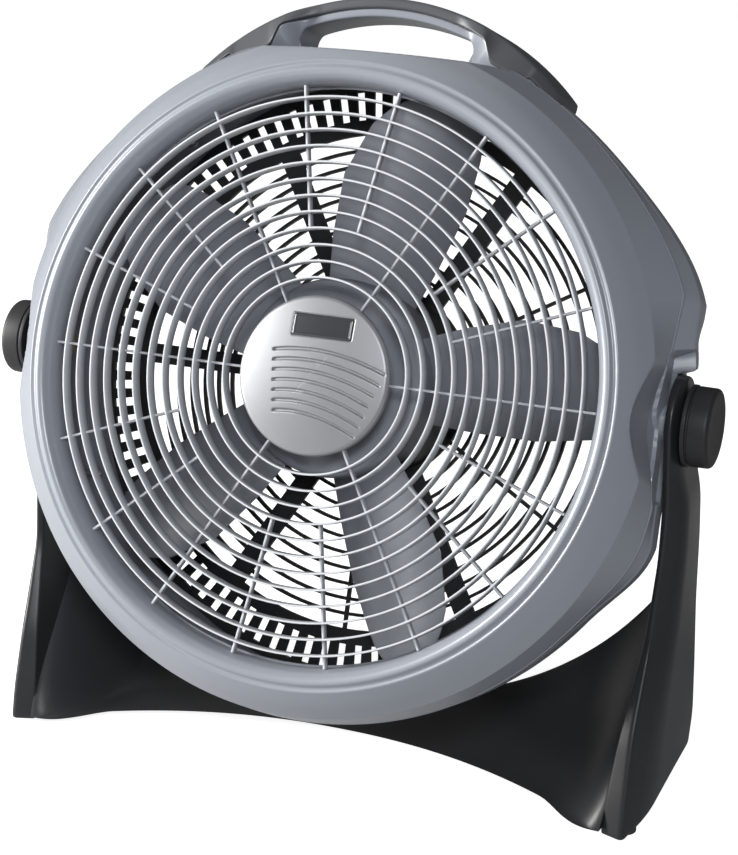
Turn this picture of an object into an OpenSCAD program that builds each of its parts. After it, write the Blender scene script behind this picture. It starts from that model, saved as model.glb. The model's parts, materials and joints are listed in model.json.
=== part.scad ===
// Twenty-inch pivoting floor fan: a round fan head with a carrying handle,
// hung between the two legs of a moulded stand and clamped by two side knobs.
// Origin: on the floor, straight below the tilt axis. +Z up, air leaves towards -Y.

/* [Fan head] */
// Radius of the air outlet at the front grille
outlet_r = 217; // [190:1:270]
// Distance from the tilt axis forward to the face of the front grille
front_depth = 68; // [62:1:90]
// Distance from the tilt axis back to the rear rim of the housing
rear_depth = 66; // [58:1:90]
// Wall of the housing mouldings
shell_wall = 2.6; // [2:0.1:3.2]
// How far the upper corners of the housing stand out beyond its round part
corner_rise = 18; // [6:1:22]
// Backward lean of the head as it stands
rest_lean = 20; // [0:1:35]

/* [Front grille] */
// Number of ring fins
ring_count = 12; // [8:1:14]
// Radius of the innermost ring fin
first_ring_r = 73.4; // [70:0.1:80]
// Thickness of a ring fin
fin_t = 1.8; // [1.4:0.1:2.4]
// Depth of a ring fin along the air path
fin_depth = 11; // [7:0.5:12]
// Number of spokes, long and short together
spoke_count = 18; // [12:6:24]
// Radius of the round cap in the middle
cap_r = 60; // [50:1:66]

/* [Fan and motor] */
// Number of blades
blade_count = 5; // [3:1:6]
// Radius at the blade tips
blade_tip_r = 222; // [180:1:224]
// Pitch of the blades against the plane of the fan
blade_pitch = 24; // [14:1:26]
// Radius of the motor shaft
shaft_r = 4; // [3:0.1:5]
// Radius of the laminated stator
stator_r = 44; // [38:1:50]
// Length of the stator stack
stator_len = 20; // [14:1:22]

/* [Carrying handle] */
// Half the width of the hand opening
hand_half_w = 64; // [50:1:72]
// Height of the hand opening at its middle
hand_h = 35; // [30:1:42]
// Thickness of the whole handle above the opening
handle_t = 14.5; // [13:0.5:18]

/* [Stand] */
// Clearance between the round head and the cross panel under it
head_clearance = 28; // [20:1:45]
// Thickness of a leg at the tilt axis
leg_t = 10; // [8:0.5:14]
// How far each leg bows out below its knob
leg_bow = 6.5; // [0:0.5:9]
// Radius of the rounded leg top
leg_top_r = 36; // [34:1:38]
// Distance from the tilt axis forward to the toe of a leg
toe_y = 98; // [90:1:120]
// Distance from the tilt axis back to the heel of a leg
heel_y = 80; // [72:1:110]
// Wall of the cross panel
panel_wall = 3.2; // [2.6:0.1:4]

/* [Tilt knobs] */
// Radius of a tilt knob
knob_r = 30.5; // [26:0.5:33]
// Length of a tilt knob along the tilt axis
knob_len = 20; // [16:1:26]
// Radius of the smooth shoulder that turns in the leg
shoulder_r = 9; // [7:0.5:10]
// Radius of the knob's threaded stud
stud_r = 4; // [3:0.5:5]

/* [Hidden] */

$fn = 96;
cut = 1;
shell_gray = [0.47, 0.49, 0.53];
dark_gray = [0.27, 0.28, 0.3];
near_black = [0.13, 0.135, 0.145];
silver = [0.68, 0.69, 0.7];
steel = [0.72, 0.72, 0.73];
copper = [0.72, 0.4, 0.2];

// Fan head, in its own frame: X to the right, Y up, Z forward, origin on the tilt axis
lip_inner_r = outlet_r + 6;
lip_crest_r = outlet_r + 11;
crease_r = outlet_r + 39;
shell_r = outlet_r + 45;
upper_shell_r = shell_r + 4;
side_x = shell_r + 8;
boss_x = shell_r - 5;
lip_z = front_depth + 10.5;
crease_z = front_depth - 13;
throat_z = front_depth - 13;
parting_z = front_depth - 40;
band_rear_z = parting_z - 30;
widest_r = upper_shell_r + corner_rise + 6;
duct_r = outlet_r + 24;
front_rise_share = 0.55;
shroud_screw_angles = [45, 135, 205, 245, 295, 335];
post_at_r = duct_r + 4;
post_r = 5;
post_rear_z = parting_z - 64;
upper_corner_angle = 18;
upper_corner_spread = 17;
upper_flat_angle = 9;
lower_corner_angle = 22;
lower_corner_spread = 9;
lower_corner_rise = corner_rise * 0.66;
outline_step = 3;

// Side recesses and bosses round the tilt axis
recess_r = 58;
recess_x = boss_x - 11;
recess_rear_z = 3;
boss_r = 32;
boss_root_x = duct_r - 2;
insert_r = stud_r + 3;
insert_len = 16;
run_gap = 0.05;
fit_gap = 0.3;

// Handle: a circular arch standing on the shell, centred above the fan axis
hand_floor_y = shell_r - 19;
handle_top_y = hand_floor_y + hand_h + handle_t;
handle_end_x = outlet_r * 0.672;
handle_end_y = sqrt(pow(upper_shell_r + 4.5, 2) - pow(handle_end_x, 2));
handle_sag = handle_top_y - handle_end_y;
handle_r = (pow(handle_end_x, 2) + pow(handle_sag, 2)) / (2 * handle_sag);
handle_center_y = handle_top_y - handle_r;
grip_t = 8.5;
grip_inner_r = handle_r - grip_t;
hand_top_r = handle_r - handle_t;
hand_corner_r = 9;
handle_front_z = 12;
handle_rear_z = -26;
grip_overlap_z = 3;

// Front grille and cap
ring_pitch = (outlet_r - 9.4 - first_ring_r) / (ring_count - 1);
spoke_depth = 6;
spoke_t = 1.9;
grille_hub_r = cap_r - 2;
short_spoke_ring = 3;
dish_rise = 27;
dish_fall = 24;
spoke_z = front_depth - 6.5;
rim_w = 3;
rim_lip = 1.5;
cap_front_z = front_depth + 9;
cap_dome_r = cap_r * 5;
cap_back_z = spoke_z + spoke_depth;
plate_w = 48;
plate_h = 17;
plate_t = 1.2;
plate_x = 4;
plate_y = 37;
plate_pocket = 3;
cap_roof = plate_pocket + shell_wall;

// Rear grille
rear_z = -rear_depth;
rear_plate_t = 4;
rear_grille_r = duct_r - fit_gap;
slot_outer_r = rear_grille_r - 8;
rim_screw_count = 6;
slot_inner_r = outlet_r - 7;
slot_ring_w = 12;
slot_count = 96;
rear_hub_r = 78;
strut_w = 16;
strut_count = 6;
rear_ring_count = 9;
rear_ring_t = 2.4;
rear_bar_w = 2.6;

// Motor, along Z
motor_cup_r = 74;
motor_wall = 2.4;
cup_rear_z = rear_z + rear_plate_t;
cup_front_z = -13;
core_mid_z = (cup_rear_z + cup_front_z) / 2;
core_rear_z = core_mid_z - stator_len / 2;
core_front_z = core_mid_z + stator_len / 2;
rotor_r = 22;
air_gap = 0.5;
bearing_r = 8;
bracket_t = 3;
post_len = 6;
front_plate_z = core_front_z + post_len;
rear_plate_z = core_rear_z - post_len - bracket_t;
screw_r = 2;
screw_head_r = 4;
shaft_rear_z = cup_rear_z + 1;
shaft_front_z = 49;
hub_boss_r = 11;
hub_boss_rise = 2;
nut_len = 12;
cover_r = 71;
cover_depth = 32;
cover_front_z = rear_z;
cover_rear_z = rear_z - cover_depth;
gland_y = -44;

// Fan moulding
hub_r = 76;
hub_rear_z = -5;
hub_front_z = 36;
hub_wall = 2.4;
blade_t = 2.6;
blade_mid_z = 14;
blade_root_r = hub_r - 1;
blade_bend_r = 190;
first_blade_angle = 80;

// Stand
foot_pad_t = 3;
foot_pad_r = 9;
arc_r = shell_r + head_clearance;
pivot_height = arc_r + panel_wall + 6.8;
leg_in_x = boss_x + 2;
leg_out_x = leg_in_x + leg_t;
floor_z = foot_pad_t - pivot_height;
toe_in_x = leg_in_x - 19;
seam = [[toe_in_x, floor_z - cut], [toe_in_x + 3, floor_z + 70], [leg_in_x - 6, floor_z + 130],
    [leg_in_x, -100]];
leg_wall = 3.6;
leg_rim = 7;
panel_half_w = leg_in_x - 7;
lug_r = 6;
panel_screw_stand_off = 0.8;
panel_rear_y = 58;
panel_front_y = -20;
panel_front_sag = toe_y - 26;
panel_arch = 5;
panel_curve_r = (pow(panel_half_w, 2) + pow(panel_front_sag, 2)) / (2 * panel_front_sag);
panel_curve_y = panel_front_y - panel_curve_r;
lug_y = [-6, 18, 40];
lug_drop = [pivot_height - 38, pivot_height - 68, pivot_height - 100];
washer_t = 1.6;
bush_wall = 2.6;
knob_in_x = leg_out_x + 1.4;
knob_out_x = knob_in_x + knob_len;

// ---- placing ----
module in_head() {
    translate([0, 0, pivot_height]) rotate([90 - rest_lean, 0, 0]) children();
}

module at_pivot() {
    translate([0, 0, pivot_height]) children();
}

module both_sides() {
    children();
    mirror([1, 0, 0]) children();
}

// A cylinder along X between two distances from the middle
module side_cylinder(r, from_x, to_x) {
    translate([from_x, 0, 0]) rotate([0, 90, 0]) cylinder(r = r, h = to_x - from_x);
}

module ring(outer_r, inner_r, from_z, to_z) {
    difference() {
        translate([0, 0, from_z]) cylinder(r = outer_r, h = to_z - from_z);
        translate([0, 0, from_z - cut]) cylinder(r = inner_r, h = to_z - from_z + 2 * cut);
    }
}

module disc(r, from_z, to_z) {
    translate([0, 0, from_z]) cylinder(r = r, h = to_z - from_z);
}

// ---- outline of the housing, seen from the front ----
function corner_bump(rise, mid, spread, e) = rise * exp(-pow((e - mid) / spread, 2));
function upper_side_x(e) = e < upper_flat_angle ? boss_x : side_x;
function upper_radius(e, share) =
    min(upper_shell_r + corner_bump(corner_rise * share, upper_corner_angle, upper_corner_spread, e),
        upper_side_x(e) / cos(min(e, 80)));
function lower_radius(e, share) =
    min(shell_r + corner_bump(lower_corner_rise * share, lower_corner_angle, lower_corner_spread, e),
        boss_x / cos(min(e, 80)));
function outline_radius(a, share) =
    let(e = asin(abs(sin(a)))) sin(a) >= 0 ? upper_radius(e, share) : lower_radius(e, share);

module shell_outline(share, inset) {
    polygon([for (a = [outline_step / 2 : outline_step : 360])
        (outline_radius(a, share) - inset) * [cos(a), sin(a)]]);
}

// The hand opening: flat floor, arched top, rounded corners
module hand_opening(grow) {
    half_w = hand_half_w + grow;
    corner = hand_corner_r + grow;
    intersection() {
        translate([0, handle_center_y]) circle(r = hand_top_r + grow);
        union() {
            translate([-half_w, hand_floor_y - grow + corner]) square([2 * half_w, handle_r]);
            translate([-half_w + corner, hand_floor_y - grow]) square([2 * (half_w - corner), handle_r]);
            for (side = [-1, 1])
                translate([side * (half_w - corner), hand_floor_y - grow + corner]) circle(r = corner);
        }
    }
}

module opening_cut(grow) {
    translate([0, 0, -100]) linear_extrude(height = 240) hand_opening(grow);
}

// The round recess that lets a leg stand beside the housing
module side_recess(grow) {
    both_sides() {
        side_cylinder(boss_r + 1 + grow, recess_x - grow, side_x + 30);
        intersection() {
            side_cylinder(recess_r + grow, recess_x - grow, side_x + 30);
            translate([0, -100, recess_rear_z - grow]) cube([side_x + 40, 200, 100]);
        }
    }
}

// ---- fan head mouldings ----
module shroud_solid() {
    intersection() {
        rotate_extrude() polygon([
            [outlet_r, parting_z], [outlet_r, front_depth - 4], [outlet_r + 2, front_depth + 3],
            [lip_inner_r, lip_z - 2], [lip_crest_r - 2, lip_z], [lip_crest_r + 2, lip_z],
            [lip_crest_r + 7, lip_z - 2.5], [crease_r - 10, crease_z + 8], [crease_r, crease_z],
            [widest_r, crease_z - (widest_r - crease_r)], [widest_r, parting_z]]);
        linear_extrude(height = lip_z + cut) shell_outline(front_rise_share, 0);
    }
}

module shroud_cavity() {
    w = shell_wall;
    intersection() {
        rotate_extrude() polygon([
            [outlet_r - cut, parting_z - cut], [outlet_r - cut, throat_z], [outlet_r + w, throat_z],
            [outlet_r + w, front_depth - 4], [outlet_r + 2 + w, front_depth + 2],
            [lip_inner_r + w, lip_z - 4], [lip_crest_r + 1, lip_z - w], [lip_crest_r + 5, lip_z - 2 - w],
            [crease_r - 11, crease_z + 8 - w], [crease_r - 1, crease_z - w],
            [widest_r, crease_z - (widest_r - crease_r) - 1.4 * w], [widest_r, parting_z - cut]]);
        translate([0, 0, parting_z - 2 * cut])
            linear_extrude(height = lip_z) shell_outline(front_rise_share, w);
    }
}

module screw_post(r, from_z, to_z) {
    for (a = shroud_screw_angles) rotate([0, 0, a]) translate([post_at_r, 0, 0]) disc(r, from_z, to_z);
}

// Ribs that tie the screw posts to the outer wall
module post_ribs(from_z, to_z) {
    for (a = shroud_screw_angles) rotate([0, 0, a])
        translate([post_at_r, -1.5, from_z]) cube([40, 3, to_z - from_z]);
}

module front_shroud() {
    color(shell_gray) in_head() difference() {
        union() {
            difference() {
                shroud_solid();
                side_recess(0);
                difference() {
                    shroud_cavity();
                    side_recess(shell_wall);
                    opening_cut(shell_wall);
                }
            }
            intersection() {
                shroud_solid();
                screw_post(post_r, parting_z, lip_z);
            }
        }
        opening_cut(0);
        both_sides() side_cylinder(boss_r + fit_gap, boss_root_x - cut, side_x);
        screw_post(screw_r, parting_z - cut, parting_z + 12);
    }
}

// Face of the grille at a radius: a shallow dish, highest two thirds of the way out
function dish_z(r) = front_depth + dish_rise * pow(r / outlet_r, 2) - dish_fall * pow(r / outlet_r, 4);

module front_grille() {
    color(shell_gray) in_head() {
        for (i = [0 : ring_count - 1]) {
            r = first_ring_r + i * ring_pitch;
            ring(r + fin_t / 2, r - fin_t / 2, dish_z(r) - fin_depth, dish_z(r));
        }
        ring(grille_hub_r, 6, front_depth - 9, cap_back_z);
        ring(outlet_r + rim_w, outlet_r - rim_lip, throat_z - rim_w, throat_z);
        for (i = [0 : spoke_count - 1]) {
            full = i % 3 == 0;
            from_r = full ? grille_hub_r - 3 : first_ring_r + short_spoke_ring * ring_pitch;
            rotate([0, 0, i * 360 / spoke_count]) {
                translate([from_r, -spoke_t / 2, spoke_z])
                    cube([outlet_r - from_r - 0.1, spoke_t, spoke_depth]);
                translate([outlet_r - rim_lip, -spoke_t / 2, throat_z - rim_w])
                    cube([rim_lip - 0.1, spoke_t, spoke_z - throat_z + rim_w + spoke_depth]);
            }
        }
    }
}

// Front of the cap at a radius: part of a large sphere
function dome_z(r) = cap_front_z - pow(r, 2) / (2 * cap_dome_r);

module hub_cap() {
    edge_z = dome_z(cap_r) - 2;
    hollow_r = min(cap_r - shell_wall, sqrt(2 * cap_dome_r * (cap_front_z - cap_roof - cap_back_z)));
    color(silver) in_head() difference() {
        rotate_extrude() polygon([[0, cap_back_z], [cap_r, cap_back_z], [cap_r, edge_z],
            [cap_r - 1, edge_z + 1.6],
            for (r = [cap_r - 3 : -cap_r / 8 : 4]) [r, dome_z(r)], [0, cap_front_z]]);
        rotate_extrude() polygon([[0, cap_back_z - cut], [hollow_r, cap_back_z - cut],
            for (r = [hollow_r : -hollow_r / 6 : 1]) [r, dome_z(r) - cap_roof],
            [0, cap_front_z - cap_roof]]);
        translate([plate_x - plate_w / 2, plate_y - plate_h / 2, cap_front_z - plate_pocket])
            cube([plate_w, plate_h, 10]);
    }
}

module cap_plate() {
    color(dark_gray) in_head()
        translate([plate_x - plate_w / 2, plate_y - plate_h / 2, cap_front_z - plate_pocket])
            translate([fit_gap, fit_gap, 0]) cube([plate_w - 2 * fit_gap, plate_h - 2 * fit_gap, plate_t]);
}

module rear_profile(inset) {
    polygon([[0, parting_z + inset], [widest_r, parting_z + inset], [widest_r, band_rear_z],
        [shell_r - inset, band_rear_z - 20], [shell_r - 10 - inset, rear_z + 16],
        [duct_r + 5 - inset, rear_z - inset], [0, rear_z - inset]]);
}

module rear_shell_solid(share, inset) {
    intersection() {
        rotate_extrude() rear_profile(inset);
        translate([0, 0, rear_z - 20]) linear_extrude(height = 200) shell_outline(share, inset);
    }
}

module handle_arch() {
    translate([0, 0, handle_rear_z]) linear_extrude(height = handle_front_z - handle_rear_z)
        difference() {
            intersection() {
                translate([0, handle_center_y]) circle(r = grip_inner_r);
                translate([-handle_end_x, handle_end_y - 22]) square([2 * handle_end_x, 100]);
            }
            circle(r = shell_r - 12);
        }
}

module pivot_boss() {
    both_sides() side_cylinder(boss_r, boss_root_x, boss_x);
}

module rear_housing() {
    color(shell_gray) in_head() difference() {
        union() {
            difference() {
                rear_shell_solid(1, 0);
                side_recess(0);
                difference() {
                    rear_shell_solid(1, shell_wall);
                    side_recess(shell_wall);
                    opening_cut(shell_wall);
                }
            }
            handle_arch();
            pivot_boss();
            intersection() {
                rear_shell_solid(1, 0);
                union() {
                    screw_post(post_r, post_rear_z, parting_z);
                    post_ribs(post_rear_z, parting_z);
                }
            }
            ring(duct_r + 4, slot_outer_r, rear_z + rear_plate_t, rear_z + rear_plate_t + 3);
        }
        opening_cut(0);
        grip_pocket(0);
        disc(duct_r, rear_z - 5, rear_z + rear_plate_t);
        disc(slot_outer_r, rear_z - 5, rear_z + 20);
        rim_screw_set(1.6, rear_z - cut, rear_z + rear_plate_t + 3 + cut);
        both_sides() side_cylinder(insert_r, boss_x - insert_len, boss_x + cut);
        screw_post(screw_r + 0.2, rear_z - 2 * cut, parting_z + cut);
        screw_post(screw_head_r + 0.4, rear_z - 2 * cut, post_rear_z + 3);
    }
}

module grip_pocket(grow) {
    translate([0, 0, handle_rear_z - grip_overlap_z])
        linear_extrude(height = handle_front_z - handle_rear_z + 2 * grip_overlap_z)
            difference() {
                intersection() {
                    translate([0, handle_center_y]) circle(r = handle_r + 20);
                    translate([-handle_end_x, handle_end_y - 16]) square([2 * handle_end_x, 120]);
                }
                translate([0, handle_center_y]) circle(r = grip_inner_r);
            }
}

module handle_grip() {
    color(dark_gray) in_head() intersection() {
        grip_pocket(0);
        translate([0, handle_center_y, -100]) cylinder(r = handle_r, h = 200);
    }
}

module stud_inserts() {
    color(copper) in_head() both_sides() difference() {
        side_cylinder(insert_r, boss_x - insert_len, boss_x);
        side_cylinder(stud_r + run_gap, boss_x - insert_len - cut, boss_x + cut);
    }
}

module shroud_screws() {
    color(steel) in_head() {
        screw_post(screw_r - 0.05, post_rear_z + 3, parting_z + 10);
        screw_post(screw_head_r, post_rear_z, post_rear_z + 3);
    }
}

module rear_grille() {
    ring_gap = (slot_inner_r - slot_ring_w - rear_hub_r) / (rear_ring_count + 1);
    color(near_black) in_head() difference() {
        translate([0, 0, rear_z]) linear_extrude(height = rear_plate_t) {
            difference() {
                circle(r = rear_grille_r);
                circle(r = slot_inner_r - slot_ring_w);
                for (i = [0 : slot_count - 1]) rotate(i * 360 / slot_count)
                    translate([slot_inner_r, -PI * slot_inner_r / slot_count / 2])
                        square([slot_outer_r - slot_inner_r, PI * slot_inner_r / slot_count]);
            }
            difference() {
                circle(r = rear_hub_r);
                circle(r = 60);
            }
            for (i = [1 : rear_ring_count]) difference() {
                circle(r = rear_hub_r + i * ring_gap + rear_ring_t / 2);
                circle(r = rear_hub_r + i * ring_gap - rear_ring_t / 2);
            }
            for (i = [0 : strut_count - 1]) rotate(i * 360 / strut_count) {
                translate([rear_hub_r - 6, -strut_w / 2])
                    square([slot_inner_r - slot_ring_w - rear_hub_r + 10, strut_w]);
                rotate(180 / strut_count) translate([rear_hub_r - 6, -rear_bar_w / 2])
                    square([slot_inner_r - slot_ring_w - rear_hub_r + 10, rear_bar_w]);
            }
        }
        cover_screw_set(screw_r, rear_z - cut, rear_z + rear_plate_t + cut);
        rim_screw_set(1.8, rear_z - cut, rear_z + rear_plate_t + cut);
    }
}

module rim_screw_set(r, from_z, to_z) {
    for (i = [0 : rim_screw_count - 1]) rotate([0, 0, (i + 0.5) * 360 / rim_screw_count])
        translate([rear_grille_r - 4, 0, 0]) disc(r, from_z, to_z);
}

module rear_grille_screws() {
    color(steel) in_head() {
        rim_screw_set(3.4, rear_z - 2.2, rear_z);
        rim_screw_set(1.55, rear_z - cut, rear_z + rear_plate_t + 3);
    }
}

module cover_screw_set(r, from_z, to_z) {
    for (a = [45 : 90 : 315]) rotate([0, 0, a]) translate([66, 0, 0]) disc(r, from_z, to_z);
}

module motor_cup() {
    color(near_black) in_head() difference() {
        disc(motor_cup_r, cup_rear_z, cup_front_z);
        difference() {
            disc(motor_cup_r - motor_wall, cup_rear_z - cut, cup_front_z - motor_wall);
            bracket_screw_set(post_r, front_plate_z + bracket_t, cup_front_z);
        }
        bracket_screw_set(screw_r, front_plate_z, cup_front_z - 1);
        disc(bearing_r + 3, cup_rear_z, cup_front_z + cut);
        for (a = [0 : 30 : 330]) rotate([0, 0, a]) translate([32, -2.5, cup_front_z - 10])
            cube([24, 5, 20]);
    }
}

module stator_core() {
    color(steel) in_head() difference() {
        intersection() {
            disc(stator_r, core_rear_z, core_front_z);
            translate([-stator_r + 4, -stator_r + 4, core_rear_z])
                cube([2 * stator_r - 8, 2 * stator_r - 8, stator_len]);
        }
        disc(rotor_r + air_gap, core_rear_z - cut, core_front_z + cut);
        bracket_screw_set(screw_r, core_rear_z - cut, core_front_z + cut);
    }
}

module stator_coils() {
    color(copper) in_head() {
        ring(stator_r - 10, rotor_r + 3, core_front_z, core_front_z + 5);
        ring(stator_r - 10, rotor_r + 3, core_rear_z - 5, core_rear_z);
    }
}

module bracket_screw_set(r, from_z, to_z) {
    for (a = [45 : 90 : 315]) rotate([0, 0, a])
        translate([stator_r - 4.5, 0, 0]) disc(r, from_z, to_z);
}

// A bearing plate with four posts that stand on the stator; the posts end inside the plate
module motor_bracket(plate_z, post_from_z, post_to_z) {
    difference() {
        union() {
            disc(stator_r - 2, plate_z, plate_z + bracket_t);
            bracket_screw_set(4, post_from_z, post_to_z);
        }
        disc(bearing_r, plate_z - cut, plate_z + bracket_t + cut);
        bracket_screw_set(screw_r, rear_plate_z - cut, front_plate_z + bracket_t + cut);
    }
}

module front_bracket() {
    color(silver) in_head() motor_bracket(front_plate_z, core_front_z, front_plate_z + bracket_t / 2);
}

module rear_bracket() {
    color(silver) in_head() motor_bracket(rear_plate_z, rear_plate_z + bracket_t / 2, core_rear_z);
}

module motor_bearings() {
    color(copper) in_head() for (z = [front_plate_z, rear_plate_z])
        ring(bearing_r, shaft_r + run_gap, z, z + bracket_t);
}

module bracket_screws() {
    color(steel) in_head() {
        bracket_screw_set(screw_r - 0.05, rear_plate_z, cup_front_z - 2);
        bracket_screw_set(screw_head_r, rear_plate_z - 2.4, rear_plate_z);
    }
}

module control_cover() {
    color(near_black) in_head() difference() {
        union() {
            disc(cover_r, cover_rear_z + 4, cover_front_z);
            translate([0, 0, cover_rear_z]) cylinder(r1 = cover_r - 4, r2 = cover_r, h = 4);
        }
        translate([0, 0, cover_rear_z + 3]) cylinder(r = cover_r - 10, h = cover_depth);
        disc(7, cover_rear_z - cut, cover_rear_z + 4);
        translate([0, gland_y, 0]) disc(8, cover_rear_z - cut, cover_rear_z + 4);
        cover_screw_set(screw_r + 0.2, cover_rear_z - cut, cover_front_z + cut);
        cover_screw_set(screw_head_r + 0.4, cover_rear_z - cut, cover_rear_z + 5);
        for (a = [20 : 20 : 340]) rotate([0, 0, a + 270]) translate([36, -2, cover_rear_z - cut])
            cube([18, 4, 6]);
    }
}

module cover_screws() {
    color(steel) in_head() {
        cover_screw_set(screw_r - 0.05, cover_rear_z + 5, cover_front_z + rear_plate_t);
        cover_screw_set(screw_head_r, cover_rear_z + 2.5, cover_rear_z + 5);
    }
}

module speed_switch() {
    color(dark_gray) in_head() {
        translate([-15, -15, cover_rear_z + 3]) cube([30, 30, 14]);
        disc(5, cover_rear_z - 4, cover_rear_z + 4);
    }
}

module run_capacitor() {
    color(dark_gray) in_head() translate([-20, 24, cover_rear_z + 3]) cube([40, 18, 24]);
}

module cord_gland() {
    color(near_black) in_head() translate([0, gland_y, 0]) difference() {
        union() {
            disc(7.9, cover_rear_z, cover_rear_z + 9);
            disc(11, cover_rear_z - 4, cover_rear_z);
        }
        disc(3.6, cover_rear_z - 5, cover_rear_z + 10);
    }
}

// ---- turning parts on the fan axis ----
module motor_shaft() {
    color(steel) in_head() disc(shaft_r, shaft_rear_z, shaft_front_z);
}

module rotor_core() {
    color(steel) in_head() ring(rotor_r, shaft_r, core_rear_z, core_front_z);
}

// A blade in plan: a paddle that widens to the middle and rounds off at the tip
module blade_plan() {
    mid = blade_root_r + (blade_tip_r - blade_root_r) * 0.55;
    intersection() {
        circle(r = blade_tip_r);
        polygon([[blade_root_r - 8, -34], [mid, -50], [blade_tip_r + 4, -40], [blade_tip_r + 4, 18],
            [mid, 48], [blade_root_r - 8, 36]]);
    }
}

module blade() {
    intersection() {
        translate([0, 0, hub_rear_z - 10])
            linear_extrude(height = hub_front_z - hub_rear_z + 20) blade_plan();
        rotate([blade_pitch, 0, 0]) translate([0, 0, blade_mid_z]) rotate([0, 90, 0])
            translate([-blade_bend_r, 0, 0]) difference() {
                cylinder(r = blade_bend_r + blade_t / 2, h = blade_tip_r + 10);
                translate([0, 0, -cut]) cylinder(r = blade_bend_r - blade_t / 2, h = blade_tip_r + 12);
            }
        ring(blade_tip_r + 20, blade_root_r, hub_rear_z - 12, hub_front_z + 12);
    }
}

module fan_blade() {
    color(shell_gray) in_head() {
        difference() {
            disc(hub_r, hub_rear_z, hub_front_z);
            disc(hub_r - hub_wall, hub_rear_z - cut, hub_front_z - hub_wall);
            disc(shaft_r + run_gap, hub_rear_z, hub_front_z + cut);
        }
        difference() {
            disc(hub_boss_r, hub_rear_z, hub_front_z + hub_boss_rise);
            disc(shaft_r + run_gap, hub_rear_z - cut, hub_front_z + hub_boss_rise + cut);
        }
        for (i = [0 : blade_count - 1]) rotate([0, 0, first_blade_angle + i * 360 / blade_count]) blade();
    }
}

module blade_nut() {
    color(near_black) in_head() difference() {
        disc(hub_boss_r, hub_front_z + hub_boss_rise, hub_front_z + hub_boss_rise + nut_len);
        disc(shaft_r + run_gap, hub_front_z, shaft_front_z);
    }
}

// ---- controls ----
module speed_knob() {
    color(near_black) in_head() difference() {
        union() {
            disc(17, cover_rear_z - 18, cover_rear_z - 1);
            translate([-2.5, -16, cover_rear_z - 21]) cube([5, 32, 4]);
        }
        disc(5 + run_gap, cover_rear_z - 4 - fit_gap, cover_rear_z);
    }
}

module tilt_knob() {
    r = knob_r;
    at_pivot() difference() {
        rotate([0, 90, 0]) rotate_extrude() polygon([[0, knob_in_x], [r - 1, knob_in_x], [r, knob_in_x + 1],
            [r, knob_in_x + 4], [r - 1.6, knob_in_x + 5.5], [r - 1.6, knob_out_x - 7],
            [r - 3, knob_out_x - 3], [r - 7, knob_out_x - 0.6], [r - 12, knob_out_x], [0, knob_out_x]]);
        side_cylinder(stud_r, knob_in_x - cut, knob_out_x - 5);
    }
}

module right_tilt_knob() {
    color(near_black) tilt_knob();
}

module left_tilt_knob() {
    color(near_black) mirror([1, 0, 0]) tilt_knob();
}

// A steel stud moulded into the knob, with the smooth shoulder that carries the head
module knob_stud() {
    at_pivot() {
        side_cylinder(stud_r, boss_x - insert_len, knob_out_x - 5);
        side_cylinder(shoulder_r, boss_x + 0.2, knob_in_x);
    }
}

module right_knob_stud() {
    color(steel) knob_stud();
}

module left_knob_stud() {
    color(steel) mirror([1, 0, 0]) knob_stud();
}

// ---- stand ----
// Side view of a leg: Y along the first axis, height along the second
module leg_side(inset) {
    i = inset;
    top = inset > 0 ? -55 : 0;
    foot = floor_z;
    polygon([[-leg_top_r * 0.92 + i, top], [-28 + i, -60], [-30 + i, -100], [-42 + 1.2 * i, -160],
        [-72 + 1.3 * i, foot + 72], [-toe_y + 6 + 1.3 * i, foot + 18], [-toe_y + 1.4 * i, foot + 5 + i],
        [-toe_y + 5 + 1.4 * i, foot + i], [heel_y - 16 - i, foot + i], [heel_y - 3 - i, foot + 10 + i],
        [heel_y - i, foot + 22], [66 - i, foot + 60], [52 - i, -175], [45 - i, -100], [38 - i, -60],
        [leg_top_r * 0.98 - i, top]]);
    if (inset == 0) circle(r = leg_top_r);
}

// Front view of a leg: X along the first axis, height along the second
module leg_front(shift) {
    foot = floor_z - cut;
    out = leg_out_x - shift;
    polygon([[leg_in_x, leg_top_r + cut], [out - 1, leg_top_r + cut], [out, 20], [out, -knob_r - 3],
        [out + leg_bow * 0.8, -knob_r - 20], [out + leg_bow, -knob_r - 35], [out + leg_bow * 0.9, -100],
        [out + leg_bow * 0.5, -170], [out + leg_bow * 0.2, -230], [out, foot + 20], [out - 2, foot + 6],
        [out - 6, foot],
        for (p = seam) p]);
}

module leg() {
    at_pivot() difference() {
        intersection() {
            rotate([90, 0, 90]) translate([0, 0, toe_in_x - 5])
                linear_extrude(height = 80) leg_side(0);
            rotate([90, 0, 0]) translate([0, 0, -150]) linear_extrude(height = 300) leg_front(0);
        }
        difference() {
            intersection() {
                rotate([90, 0, 90]) translate([0, 0, toe_in_x - 10])
                    linear_extrude(height = 90) leg_side(leg_rim);
                rotate([90, 0, 0]) translate([0, 0, -150]) linear_extrude(height = 300)
                    translate([-cut, 0]) leg_front(leg_wall);
            }
            panel_lugs(lug_r, toe_in_x - 20, leg_out_x + 20);
        }
        panel_lugs(screw_r, toe_in_x - 20, leg_in_x + 6);
        side_cylinder(shoulder_r + bush_wall, leg_in_x - cut, leg_out_x + cut);
    }
}

module right_leg() {
    color(near_black) leg();
}

module left_leg() {
    color(near_black) mirror([1, 0, 0]) leg();
}

module panel_lugs(r, from_x, to_x) {
    for (i = [0 : len(lug_y) - 1])
        translate([0, lug_y[i], -lug_drop[i]]) side_cylinder(r, from_x, to_x);
}

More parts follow.
